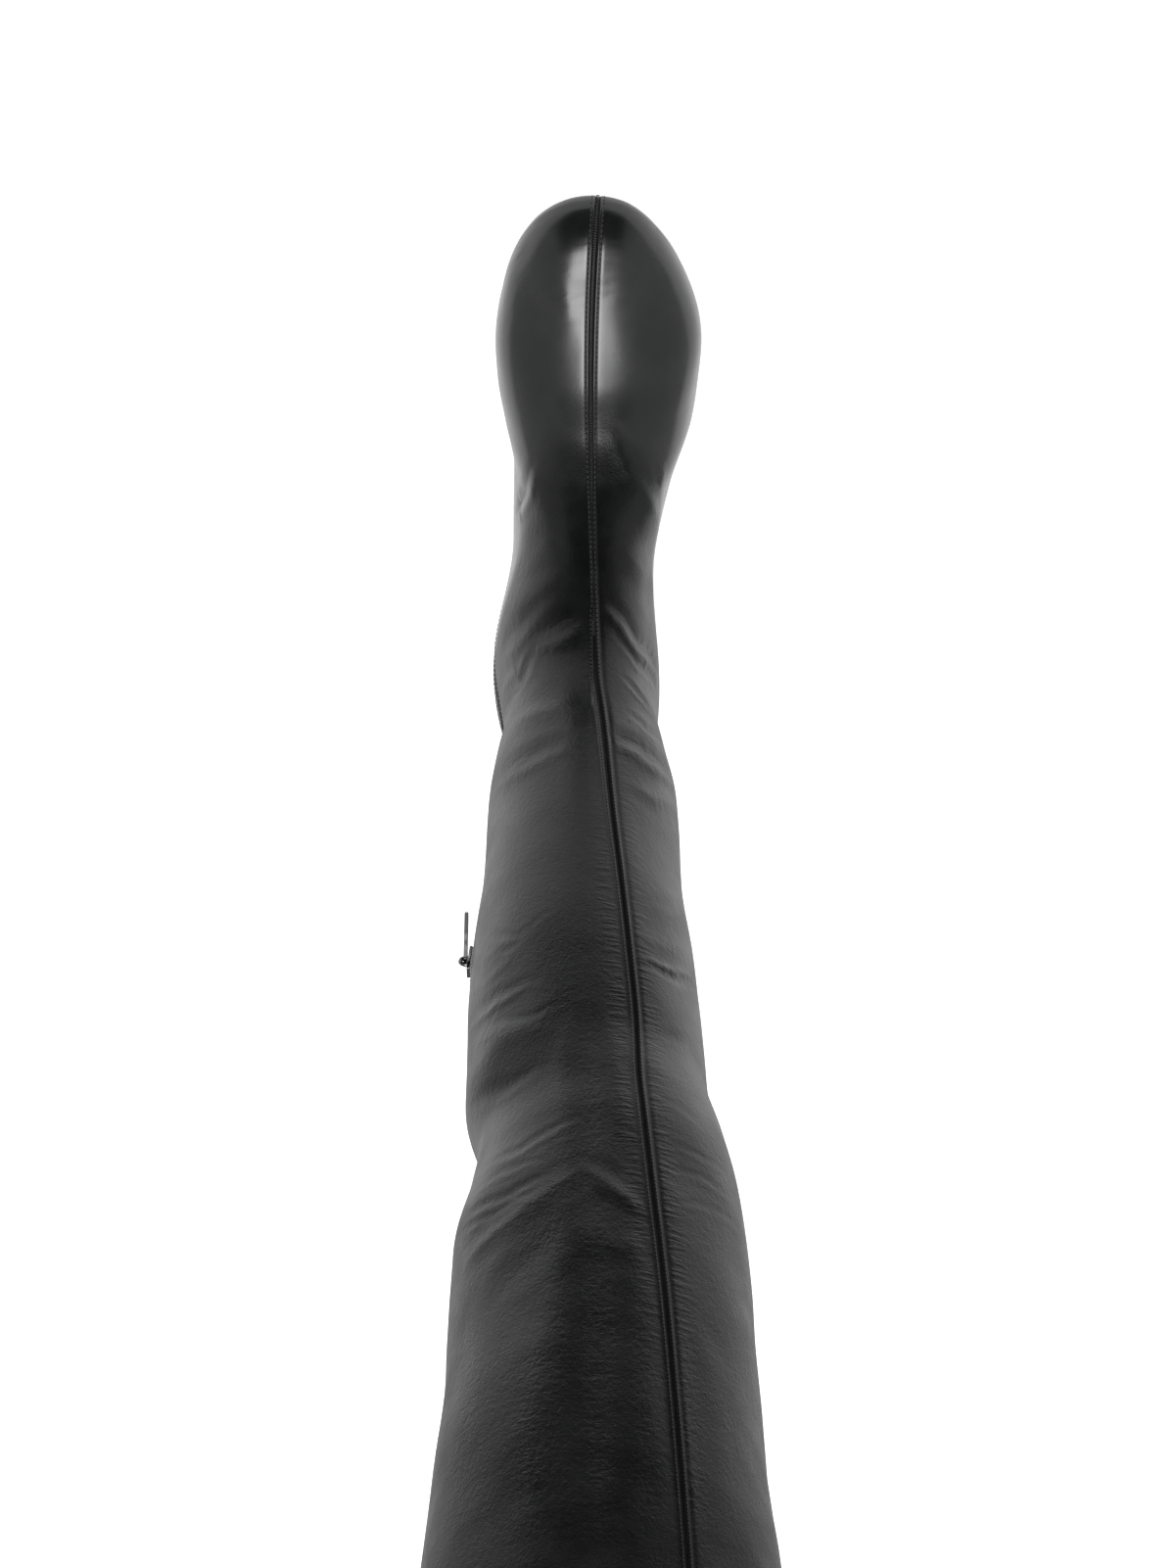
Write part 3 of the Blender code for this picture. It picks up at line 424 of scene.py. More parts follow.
# Creases and folds, each by the places it runs through: how far up the front seam from the toe and how far round
# from it (+ is the inside of the leg), in millimetres. Then its half width and depth in millimetres (a ridge is
# below 0), and its lean: how much more of its bulge lies on its upper side.
CREASES = (
    (((10, 25), (24, 20), (39, 17), (63, 9)), 9.5, -0.80, 0.0),
    (((81, 93), (101, 58), (104, 41)), 3.5, 0.63, 0.5),
    (((90, 92), (109, 67), (137, 30)), 7.0, -0.42, 0.0),
    (((103, 95), (151, 44), (168, 16)), 6.0, 0.42, 0.3),
    (((194, 35), (198, 20), (194, 6)), 5.0, 0.63, 0.5),
    (((142, 86), (173, 48), (177, 34)), 5.0, 0.56, 0.5),
    (((179, 86), (216, 45), (201, 34)), 3.9, 0.77, -0.3),
    (((274, 61), (279, 33), (274, 9)), 5.0, 0.49, 0.4),
    (((244, 47), (253, 24), (250, 7)), 6.0, -0.35, 0.0),
    (((111, -59), (112, -30), (108, -15)), 3.7, 0.52, 0.6),
    (((107, -77), (126, -28), (116, -10)), 7.0, -0.68, 0.0),
    (((107, -51), (103, -41)), 2.3, 0.30, 0.3),
    (((112, -95), (154, -37), (164, -8)), 6.5, -0.60, 0.0),
    (((152, -85), (194, -28), (187, -4)), 3.9, 1.05, 0.8),
    (((177, -68), (209, -27), (205, -11)), 2.3, 0.52, 0.3),
    (((234, -38), (231, -24), (226, -13)), 2.1, 0.60, 0.2),
    (((250, -38), (253, -24), (250, -13)), 2.5, 0.52, 0.2),
    (((268, -43), (272, -22), (269, 0)), 5.0, 0.98, 0.6),
    (((285, -50), (303, -23), (303, -8)), 5.0, -0.45, 0.0),
    (((373, 78), (404, 49), (392, 31)), 1.9, 0.20, 0.3),
    (((404, 70), (407, 49), (402, 38)), 1.9, 0.15, 0.0),
    (((401, 83), (410, 66), (409, 49)), 3.9, 0.25, 0.4),
    (((422, 92), (431, 68), (434, 41)), 3.1, 0.40, 0.6),
    (((446, 68), (456, 47), (452, 30)), 2.1, 0.15, 0.2),
    (((439, 93), (459, 59), (467, 38)), 6.0, -0.30, 0.0),
    (((473, 92), (490, 58), (488, 40)), 3.4, 0.25, 0.3),
    (((401, -49), (420, -25), (423, -4)), 2.3, 0.60, -0.8),
    (((383, -47), (402, -22), (407, -7)), 6.0, -0.36, 0.0),
    (((356, -45), (373, -24), (378, -11)), 2.6, 0.12, 0.2),
    (((441, -50), (456, -28), (465, -10)), 3.1, 0.15, 0.0),
    (((532, 80), (539, 55), (527, 27)), 2.3, 0.30, 0.4),
    (((547, 81), (550, 56), (552, 42)), 2.1, 0.20, 0.3),
    (((558, 91), (567, 64), (562, 42)), 2.6, 0.30, 0.4),
    (((565, 95), (573, 69), (571, 48)), 2.1, 0.20, 0.3),
    (((591, 92), (585, 63), (573, 43), (562, 29)), 6.0, -0.40, 0.0),
    (((630, 74), (611, 54), (594, 40), (585, 28)), 9.0, 0.45, 0.0),
    (((558, 28), (575, 17), (591, 5)), 3.6, -0.40, 0.0),
    (((578, 27), (593, 18), (606, 10)), 8.0, 0.40, -0.3),
    (((609, 25), (614, 17), (609, 7)), 5.8, -0.17, 0.0),
    (((511, -4), (511, -16), (518, -30)), 2.1, 0.10, 0.2),
    (((540, -3), (539, -19), (537, -43)), 1.9, 0.12, 0.3),
    (((558, -3), (553, -19), (550, -50)), 1.9, 0.12, 0.3),
    (((580, -3), (571, -21), (560, -59)), 1.9, 0.10, 0.3),
    (((457, 21), (521, 21), (567, 25)), 6.0, 0.70, 0.0),
    (((560, 24), (647, 28), (735, 33), (802, 35)), 9.0, 0.90, 0.0),
    (((644, 49), (714, 59), (794, 63)), 12.0, -0.60, 0.0),
    (((640, -5), (711, -6), (789, -6)), 8.0, 0.50, 0.0),
    (((611, 95), (683, 90), (760, 95)), 12.0, 0.50, 0.0),
)


def place(up, round_from_seam):
    """The point of the bare form that far up the front seam and that far round from it, in millimetres."""
    row = int(np.argmin(np.abs(climb - up / 1000)))
    return to_world(rings[row].at([round_from_seam / 1000]))[0]


def crease_line(places, count=28):
    """A smooth curve through a crease's places: points in space, and the climb at each."""
    knots = np.array(places, float)
    at = np.concatenate([[0], np.cumsum(np.linalg.norm(np.diff(knots, axis=0), axis=1))])
    even = np.linspace(0, at[-1], count)
    bends = np.array([np.interp(even, at, knots[:, k]) for k in (0, 1)])
    if len(knots) > 2:
        kernel = np.array([1, 4, 6, 4, 1]) / 16
        padded = np.pad(bends, ((0, 0), (2, 2)), mode="reflect", reflect_type="odd")
        bends = np.array([np.convolve(row, kernel, mode="valid") for row in padded])
    return np.array([place(up, aside) for up, aside in bends.T]), bends[0] / 1000


def crease_relief(panel, places, half, depth, lean):
    """How far a crease moves each point of a panel along its normal."""
    half, depth = half / 1000, depth / 1000
    line, line_climb = crease_line(places)
    points = panel["points"].reshape(-1, 3)
    heights = np.repeat(climb, panel["points"].shape[1])
    moved = np.zeros(len(points))
    reach_out = 4 * half
    low, high = line.min(axis=0) - reach_out, line.max(axis=0) + reach_out
    near = np.where(((points > low) & (points < high)).all(axis=1))[0]
    if not len(near):
        return moved.reshape(panel["arcs"].shape)
    start, step = line[:-1], np.diff(line, axis=0)
    length = np.maximum((step ** 2).sum(axis=1), 1e-12)
    best = np.full(len(near), 1e9)
    share, above = np.zeros(len(near)), np.zeros(len(near))
    for k in range(len(start)):
        t = np.clip((points[near] - start[k]) @ step[k] / length[k], 0, 1)
        gap = np.linalg.norm(points[near] - start[k] - t[:, None] * step[k], axis=1)
        closer = gap < best
        best[closer] = gap[closer]
        share[closer] = (k + t[closer]) / len(start)
        there = line_climb[k] + t * (line_climb[k + 1] - line_climb[k])
        above[closer] = (heights[near] - there)[closer]
    fade = np.sin(np.pi * np.clip(share, 0.02, 0.98)) ** 0.7
    across = best / (half * (0.55 + 0.45 * fade))
    trough = np.exp(-1.1 * across ** 1.5)
    bulge = 0.5 * np.exp(-((across - 1.9) / 0.95) ** 2) * (1 + lean * np.tanh(above / half))
    moved[near] = depth * fade * (bulge - trough)
    return moved.reshape(panel["arcs"].shape)


# The shaft is never quite even: slow swells, less than a millimetre high, that break up its reflections.
swell_source = np.random.default_rng(11)
SWELLS = [(swell_source.normal(size=3) * (1, 1, 0.9), swell_source.uniform(0, 2 * math.pi)) for _ in range(18)]


def swells(points, span, height):
    total = np.zeros(points.shape[:2])
    for way, phase in SWELLS:
        total += np.sin(points @ (way * 2 * math.pi / span) + phase)
    return total / len(SWELLS) ** 0.5 * height


def fold_edge(bm, edges, turns):
    """Carries a free edge of a panel over and in, as its turning does. turns: (outward, inward) in metres."""
    edge_points = {v for e in edges for v in e.verts}
    bases = {}
    for v in edge_points:
        middle = sum((f.calc_center_median() for f in v.link_faces), Vector()) / len(v.link_faces)
        away = v.co - middle
        away -= v.normal * away.dot(v.normal)
        bases[v] = (v.co.copy(), away.normalized(), v.normal.copy())
    for out, deep in turns:
        made = bmesh.ops.extrude_edge_only(bm, edges=edges)["geom"]
        edges = [e for e in made if isinstance(e, bmesh.types.BMEdge) and e.is_boundary
                 and not any(v in bases for v in e.verts)]
        moved = {}
        for e in made:
            if not isinstance(e, bmesh.types.BMEdge):
                continue
            ends = [v for v in e.verts if v in bases]
            if len(ends) == 1:
                moved[e.other_vert(ends[0])] = bases[ends[0]]
        for v, (co, away, normal) in moved.items():
            v.co = co + away * out - normal * deep
        bases = moved


def add_object(name, mesh):
    mesh.shade_smooth()
    made = bpy.data.objects.new(name, mesh)
    bpy.context.scene.collection.objects.link(made)
    return made


def lay_uv(mesh, label, place_on):
    """A UV map from the place of each point."""
    corner = np.empty(len(mesh.loops), np.int32)
    mesh.loops.foreach_get("vertex_index", corner)
    mesh.uv_layers.new(name=label)
    mesh.uv_layers[label].data.foreach_set("uv", place_on[corner].astype(np.float32).ravel())


def make_panel(name, panel, with_slot):
    """A panel's mesh, with its edges turned in and a slot for the zip if asked for."""
    points = panel["points"]
    rows, columns = points.shape[:2]
    index = np.arange(rows * columns).reshape(rows, columns)
    quads = np.stack([index[:-1, :-1], index[:-1, 1:], index[1:, 1:], index[1:, :-1]], axis=2)
    if panel["turn"] < 0:
        quads = quads[:, :, ::-1]
    keep = np.ones(quads.shape[:2], bool)
    if with_slot:
        keep[zip_first:zip_last, BEFORE_ZIP + 1:BEFORE_ZIP + 4] = False
    quads = quads[keep]
    mesh = bpy.data.meshes.new(name)
    mesh.from_pydata(points.reshape(-1, 3).tolist(), [], quads.tolist())
    for label in ("polish", "wrinkle"):
        layer = mesh.attributes.new(label, "FLOAT", "POINT")
        layer.data.foreach_set("value", panel[label].astype(np.float32).ravel())
    place_on = np.stack([panel["arcs"], np.repeat(climb[:, None], columns, axis=1)], axis=2).reshape(-1, 2)
    lay_uv(mesh, "leather", place_on)
    bm = bmesh.new()
    bm.from_mesh(mesh)
    bm.verts.ensure_lookup_table()
    loose = [v for v in bm.verts if not v.link_faces]
    bmesh.ops.delete(bm, geom=loose, context="VERTS")
    bm.normal_update()
    bm.verts.ensure_lookup_table()
    open_edges = [e for e in bm.edges if e.is_boundary]
    uv = bm.loops.layers.uv["leather"]

    def uv_of(v):
        return v.link_loops[0][uv].uv

    top, bottom = climb[-1] - 1e-6, 1e-6
    collar = [e for e in open_edges if all(uv_of(v).y > top for v in e.verts)]
    foot_edge = [e for e in open_edges if all(uv_of(v).y < bottom for v in e.verts)]
    slot = []
    if with_slot:
        at_zip = {int(index[r, c]) for r in range(zip_first, zip_last + 1)
                  for c in range(BEFORE_ZIP + 1, BEFORE_ZIP + 5)}
        where = {tuple(np.round(points.reshape(-1, 3)[k], 6)) for k in at_zip}
        slot = [e for e in open_edges if all(tuple(np.round(np.array(v.co), 6)) in where for v in e.verts)]
    fold_edge(bm, collar, COLLAR_TURNING)
    fold_edge(bm, foot_edge, FOOT_TURNING)
    if slot:
        fold_edge(bm, slot, SLOT_TURNING)
    bm.to_mesh(mesh)
    bm.free()
    return add_object(name, mesh)


def read(rows, at):
    """A value from a short table of (place, value) rows."""
    return np.interp(at, [row[0] for row in rows], [row[1] for row in rows])


for side, panel in panels.items():
    arcs, points, normals = panel["arcs"], panel["points"], panel["normals"]
    heights = np.repeat(climb[:, None], arcs.shape[1], axis=1)
    from_seam = np.abs(arcs)
    from_back = np.abs(arcs - arcs[:, -1:]) + BACK_GAP
    turned = ease((heights - CHANNEL_TURNS[0]) / (CHANNEL_TURNS[1] - CHANNEL_TURNS[0]))
    relief = read(CHANNEL["toe"], from_seam) * (1 - turned) + read(CHANNEL[side], from_seam) * turned
    relief *= CHANNEL_AT_TIP + (1 - CHANNEL_AT_TIP) * ease((heights - TIP) / TIP_LENGTH)
    relief += read(BACK_SEAM, from_back)
    relief += read(TOE_STANDS_OUT, heights) * read(TOE_STANDS_OUT_ROUND, arcs)
    relief += HEM_STEP * ease((heights - (climb[-1] - HEM_DEPTH)) / HEM_EDGE)
    stiff = 1 - ease((heights - STIFF_TO) / STIFF_FADE)
    calm = ease((from_seam - CALM_BESIDE_SEAM) / CALM_FADE)
    relief += calm * (1 - stiff) * sum(swells(points, *one) for one in SHAFT_SWELLS)
    relief += calm * stiff * swells(points, *TOE_SWELLS)
    wrinkle = np.zeros(arcs.shape)
    clear_of_zip = np.ones(arcs.shape)
    if side == "inside":
        zip_at = np.array([ring.zip_arc() for ring in rings])[:, None]
        beside = np.maximum(np.abs(arcs - zip_at) - ZIP_HALF, 0)
        along_zip = ease((heights - climb[zip_first] + BELOW_ZIP) / BELOW_ZIP)
        along_zip *= ease((climb[zip_last] + ABOVE_ZIP - heights) / ABOVE_ZIP)
        clear_of_zip = 1 - along_zip * (1 - ease(beside / ZIP_FADE))
    clear_of_seam = CREASE_AT_SEAM + (1 - CREASE_AT_SEAM) * ease((from_seam - SEAM_HALF) / SEAM_FADE)
    for places, half, depth, lean in CREASES:
        moved = crease_relief(panel, places, half, depth, lean)
        relief += moved * clear_of_zip * clear_of_seam
        wrinkle = np.maximum(wrinkle, np.clip(np.abs(moved) * WRINKLES_A_METRE, 0, 1))
    panel["wrinkle"] = np.maximum(wrinkle, WRINKLES_LEAST * (1 - stiff))
    panel["polish"] = 1 - ease((heights - POLISHED_TO) / POLISH_FADE)
    panel["points"] = points + normals * relief[..., None]

upper_inside = make_panel("upper_inside", panels["inside"], True)
upper_outside = make_panel("upper_outside", panels["outside"], False)


def node(tree, kind, inputs=None, **settings):
    """A node with its settings, and its inputs set to values or joined to other nodes' outputs."""
    made = tree.nodes.new(kind)
    for key, value in settings.items():
        setattr(made, key, value)
    for key, value in (inputs or {}).items():
        if isinstance(value, bpy.types.NodeSocket):
            tree.links.new(value, made.inputs[key])
        else:
            made.inputs[key].default_value = value
    return made


def math_node(tree, operation, a, b=0.0):
    return node(tree, "ShaderNodeMath", {0: a, 1: b}, operation=operation).outputs[0]


def times(tree, a, b):
    return math_node(tree, "MULTIPLY", a, b)


def plus(tree, a, b):
    return math_node(tree, "ADD", a, b)


def ramp(tree, value, low, high, to_low=0.0, to_high=1.0):
    """A value carried smoothly from one range to another."""
    made = node(tree, "ShaderNodeMapRange", {"Value": value, "From Min": low, "From Max": high,
                                             "To Min": to_low, "To Max": to_high}, interpolation_type="SMOOTHSTEP")
    return made.outputs["Result"]


def noise(tree, at, scale, detail, roughness=0.5, distortion=0.0, part="Fac"):
    return node(tree, "ShaderNodeTexNoise", {"Vector": at, "Scale": scale, "Detail": detail, "Roughness": roughness,
                                             "Distortion": distortion}).outputs[part]


def object_place(tree):
    return node(tree, "ShaderNodeTexCoord").outputs["Object"]


def new_group(name, inputs, outputs):
    group = bpy.data.node_groups.new(name, "ShaderNodeTree")
    for label, kind, value in inputs:
        socket = group.interface.new_socket(label, in_out="INPUT", socket_type=kind)
        if value is not None:
            socket.default_value = value
    for label, kind in outputs:
        group.interface.new_socket(label, in_out="OUTPUT", socket_type=kind)
    return group, node(group, "NodeGroupInput").outputs, node(group, "NodeGroupOutput")


def calf_grain():
    """The grain of smooth calf: close pores, a faint pebble and a slow unevenness. Heights are in millimetres."""
    group, given, out = new_group(
        "calf grain",
        (("Vector", "NodeSocketVector", None), ("Pebble", "NodeSocketFloat", 0.02), ("Pores", "NodeSocketFloat", 0.01)),
        (("Height", "NodeSocketFloat"), ("Blotch", "NodeSocketFloat")))
    warp = noise(group, given["Vector"], 260.0, 2.0, part="Color")
    warped = node(group, "ShaderNodeVectorMath", {0: warp, 1: (0.0016, 0.0016, 0.0016)}, operation="MULTIPLY")
    at = node(group, "ShaderNodeVectorMath", {0: given["Vector"], 1: warped.outputs[0]}, operation="ADD")
    cells = node(group, "ShaderNodeTexVoronoi", {"Vector": at.outputs[0], "Scale": 950.0, "Smoothness": 0.6},
                 feature="SMOOTH_F1")
    pebble = times(group, math_node(group, "SUBTRACT", 0.6, cells.outputs["Distance"]), given["Pebble"])
    fine = times(group, noise(group, given["Vector"], 2600.0, 2.0), given["Pores"])
    group.links.new(plus(group, pebble, fine), out.inputs["Height"])
    group.links.new(noise(group, given["Vector"], 42.0, 4.0, 0.6), out.inputs["Blotch"])
    return group


CALF_GRAIN = calf_grain()
CALF_BLACK = (0.0026, 0.0029, 0.0029)
CALF_WORN = (0.0064, 0.0070, 0.0068)


class Finish:
    """A new material with the inputs of its shader."""

    def __init__(self, name):
        self.material = bpy.data.materials.new(name)
        self.material.use_nodes = True
        self.tree = self.material.node_tree
        self.inputs = self.tree.nodes["Principled BSDF"].inputs

    def set(self, label, value):
        if isinstance(value, bpy.types.NodeSocket):
            self.tree.links.new(value, self.inputs[label])
        else:
            self.inputs[label].default_value = value

    def paint(self, share, dark, light):
        """Base colour: a share of the light tone over the dark one."""
        tone = node(self.tree, "ShaderNodeMix", {"Factor": share, "A": (*dark, 1), "B": (*light, 1)}, data_type="RGBA")
        self.set("Base Color", tone.outputs[2])
        return tone.outputs[2]

    def emboss(self, height, strength, distance):
        bump = node(self.tree, "ShaderNodeBump", {"Height": height, "Strength": strength, "Distance": distance})
        self.set("Normal", bump.outputs["Normal"])

    def grain(self, pebble, pores):
        """The calf's grain at its own strength: its height and its unevenness."""
        made = node(self.tree, "ShaderNodeGroup", node_tree=CALF_GRAIN)
        self.tree.links.new(object_place(self.tree), made.inputs["Vector"])
        made.inputs["Pebble"].default_value = pebble
        made.inputs["Pores"].default_value = pores
        return made.outputs["Height"], made.outputs["Blotch"]


def calf_material():
    """Black calf: satin on the shaft, polished over the toe, with fine wrinkles beside its creases and puckers
    along the front seam."""
    calf = Finish("black_calf")
    tree = calf.tree
    sheet = node(tree, "ShaderNodeUVMap", uv_map="leather").outputs["UV"]
    polish = node(tree, "ShaderNodeAttribute", attribute_name="polish").outputs["Fac"]
    creased = node(tree, "ShaderNodeAttribute", attribute_name="wrinkle").outputs["Fac"]
    parts = node(tree, "ShaderNodeSeparateXYZ", {"Vector": sheet}).outputs
    aside, up_leg = math_node(tree, "ABSOLUTE", parts["X"]), parts["Y"]
    grain, blotch = calf.grain(0.060, 0.030)
    height = times(tree, grain, ramp(tree, polish, 0.0, 1.0, 1.0, 0.25))
    # The grain of the soft shaft has crinkled with wear, most where it bends.
    worn = node(tree, "ShaderNodeMapping", {"Vector": object_place(tree), "Scale": (420, 420, 300)}).outputs["Vector"]
    crinkled = times(tree, noise(tree, worn, 1.0, 3.0, 0.6, 0.6), ramp(tree, creased, 0.0, 0.8, 0.17, 0.36))
    height = plus(tree, height, times(tree, crinkled, ramp(tree, up_leg, 0.13, 0.24)))
    # Fine wrinkles run round the leg, where the leather bends.
    drawn = node(tree, "ShaderNodeMapping", {"Vector": sheet, "Rotation": (0, 0, 0.30), "Scale": (70, 330, 1)})
    lines = noise(tree, drawn.outputs["Vector"], 1.0, 3.0, 0.55, 0.9)
    height = plus(tree, height, times(tree, times(tree, ramp(tree, lines, 0.35, 0.65), creased), 0.06))
    # Puckers beside the front seam, on both panels.
    near = times(tree, ramp(tree, aside, 0.003, 0.005), ramp(tree, aside, 0.016, 0.007))
    on_shaft = times(tree, ramp(tree, up_leg, 0.22, 0.40), ramp(tree, up_leg, 0.72, 0.60))
    pulled = node(tree, "ShaderNodeMapping", {"Vector": sheet, "Rotation": (0, 0, -0.25), "Scale": (90, 420, 1)})
    puckers = ramp(tree, noise(tree, pulled.outputs["Vector"], 1.0, 1.0), 0.4, 0.65)
    pucker = times(tree, times(tree, near, on_shaft), puckers)
    calf.emboss(plus(tree, height, times(tree, pucker, 0.11)), 1.0, 0.001)
    tint = ramp(tree, blotch, 0.3, 0.7)
    calf.paint(tint, CALF_BLACK, CALF_WORN)
    satin = ramp(tree, polish, 0.0, 1.0, 0.32, 0.25)
    uneven = times(tree, math_node(tree, "SUBTRACT", tint, 0.5), 0.07)
    # Seen along its surface the grain scatters more.
    skimmed = node(tree, "ShaderNodeLayerWeight", {"Blend": 0.5}).outputs["Facing"]
    scattered = plus(tree, uneven, ramp(tree, skimmed, 0.5, 1.0, 0.0, 0.18))
    # The bottom of the front seam's channel is bare and dull.
    bare = ramp(tree, aside, 0.0009, 0.0013, 1.0, 0.0)
    calf.set("Roughness", plus(tree, plus(tree, satin, scattered), times(tree, bare, 0.5)))
    covered = math_node(tree, "SUBTRACT", 1.0, bare)
    calf.set("Coat Weight", times(tree, ramp(tree, polish, 0.0, 1.0, 0.0, 0.46), covered))
    calf.set("Coat Roughness", 0.25)
    calf.set("IOR", 1.30)
    return calf.material


black_calf = calf_material()
for panel_object in (upper_inside, upper_outside):
    panel_object.data.materials.append(black_calf)
    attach(panel_object, "boot")
    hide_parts("upper")


# THE LINING
# Thin black pigskin, cut a little smaller than the upper and glued to its inner side from the collar down. It
# runs on behind the zip as a flap, so that the teeth don't touch the stocking.
LINING_DEPTH = 0.0014
LINING_THICKNESS = 0.0005
LINING_BELOW_COLLAR = 0.0009
LINING_ROW_STEP, LINING_COLUMNS = 6, 96


def thicken(made, thickness):
    """Gives a sheet its thickness, on its inner side."""
    shell = made.modifiers.new("thickness", "SOLIDIFY")
    shell.thickness = thickness
    shell.offset = -1
    bpy.context.view_layer.objects.active = made
    bpy.ops.object.modifier_apply(modifier=shell.name)
    return made


def make_lining():
    pick = np.concatenate([np.arange(0, len(rings) - 1, LINING_ROW_STEP), [len(rings) - 1]])
    across = np.linspace(0, 1, LINING_COLUMNS, endpoint=False)
    grid = to_world(np.array([rings[row].at(across * rings[row].length) for row in pick]))
    wrapped = np.concatenate([grid[:, -1:], grid, grid[:, :1]], axis=1)
    normals = sheet_normals(wrapped)[:, 1:-1]
    grid = grid - normals * LINING_DEPTH
    grid[-1, :, 2] -= LINING_BELOW_COLLAR
    rows, columns = grid.shape[:2]
    index = np.arange(rows * columns).reshape(rows, columns)
    after = np.roll(index, -1, axis=1)
    quads = np.stack([index[:-1], after[:-1], after[1:], index[1:]], axis=2).reshape(-1, 4)
    mesh = bpy.data.meshes.new("lining")
    mesh.from_pydata(grid.reshape(-1, 3).tolist(), [], quads.tolist())
    return thicken(add_object("lining", mesh), LINING_THICKNESS)


def grained(name, dark, light, roughness, pebble, pores, coat=0.0, ior=1.45):
    """A plain leather or rubber with the same grain at its own strength."""
    plain = Finish(name)
    height, blotch = plain.grain(pebble, pores)
    plain.emboss(height, 1.0, 0.001)
    plain.paint(ramp(plain.tree, blotch, 0.3, 0.7), dark, light)
    plain.set("Roughness", ramp(plain.tree, blotch, 0.3, 0.7, roughness - 0.04, roughness + 0.05))
    plain.set("Coat Weight", coat)
    plain.set("Coat Roughness", 0.2)
    plain.set("IOR", ior)
    return plain.material


lining = make_lining()
lining.data.materials.append(grained("black_pigskin", (0.016, 0.015, 0.014), (0.030, 0.028, 0.026), 0.55, 0.05, 0.04))
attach(lining, "boot")


# THE STITCHES
# Bonded black nylon thread, a little under half a millimetre thick, at eleven stitches to the inch. One row holds
# each side of the front seam, one each side of the zip, and one the hem of the collar.
THREAD = 0.00046
STITCH_LENGTH = 0.0018
STITCH_PITCH = 0.0023
LIFT = THREAD * 0.12
SEAM_LIFT = THREAD * 0.45
HOLE_SIZE = (0.0008, 0.0006, 0.0005)
HOLE_LIFT = 0.00008
CROSS_STITCHES_TO = 0.21
CROSS_LIFT, CROSS_TURN = 0.0006, 1.25
# How far the rows lie from the front seam, and from the hem's lower edge, and how much the seam's stitches slant.
SEAM_ROW = {"toe": 0.0026, "inside": 0.0022, "outside": 0.0014}
HEM_ROW = 0.0022
SLANT = 0.06


def resize_mesh(x, y, z):
    """Resizes the active object's mesh about the origin."""
    bpy.ops.object.mode_set(mode="EDIT")
    bpy.ops.mesh.select_all(action="SELECT")
    bpy.ops.transform.resize(value=(x, y, z), center_override=(0, 0, 0))
    bpy.ops.object.mode_set(mode="OBJECT")


def stitch_shape():
    """One stitch lying along X: a short thread that dips into the leather at both ends."""
    bpy.ops.object.select_all(action="DESELECT")
    bpy.ops.mesh.primitive_uv_sphere_add(segments=6, ring_count=6, radius=1)
    stitch = bpy.context.object
    bpy.ops.object.mode_set(mode="EDIT")
    bpy.ops.mesh.select_all(action="SELECT")
    bpy.ops.transform.rotate(value=math.pi / 2, orient_axis="Y", center_override=(0, 0, 0))
    bpy.ops.object.mode_set(mode="OBJECT")
    resize_mesh(STITCH_LENGTH / 2, THREAD / 2, THREAD / 2)
    return stitch


def copies_of(shape, frames, name):
    """One mesh of many copies of a shape, each at its own frame (a 4 by 4 array)."""
    base = np.array([v.co for v in shape.data.vertices])
    faces = [list(p.vertices) for p in shape.data.polygons]
    frames = np.asarray(frames)
    placed = np.einsum("nij,vj->nvi", frames[:, :3, :3], base) + frames[:, None, :3, 3]
    every = [[v + k * len(base) for v in face] for k in range(len(frames)) for face in faces]
    mesh = bpy.data.meshes.new(name)
    mesh.from_pydata(placed.reshape(-1, 3).tolist(), [], every)
    return add_object(name, mesh)


def frames_along(path, normals, pitch, lift, start=0.5, turn=0.0):
    """Frames at an even pitch along a path: X along it, Z out of the leather."""
    at = np.concatenate([[0], np.cumsum(np.linalg.norm(np.diff(path, axis=0), axis=1))])
    places = np.arange(start * pitch, at[-1] - pitch * 0.3, pitch)
    here = np.array([np.interp(places, at, path[:, k]) for k in range(3)]).T
    out = np.array([np.interp(places, at, normals[:, k]) for k in range(3)]).T
    ahead = np.array([np.interp(places + pitch / 4, at, path[:, k]) for k in range(3)]).T
    along = ahead - here
    along /= np.linalg.norm(along, axis=1, keepdims=True)
    out -= along * (out * along).sum(axis=1, keepdims=True)
    out /= np.linalg.norm(out, axis=1, keepdims=True)
    aside = np.cross(out, along)
    along, aside = (along * math.cos(turn) + aside * math.sin(turn), aside * math.cos(turn) - along * math.sin(turn))
    frames = np.zeros((len(places), 4, 4))
    frames[:, :3, 0], frames[:, :3, 1], frames[:, :3, 2] = along, aside, out
    frames[:, :3, 3] = here + out * lift
    frames[:, 3, 3] = 1
    return frames


stitch = stitch_shape()
inner, outer = panels["inside"], panels["outside"]


def row_of(panel, rows, columns, lift=LIFT, pitch=STITCH_PITCH, turn=0.0):
    return frames_along(panel["points"][rows, columns], panel["normals"][rows, columns], pitch, lift, turn=turn)


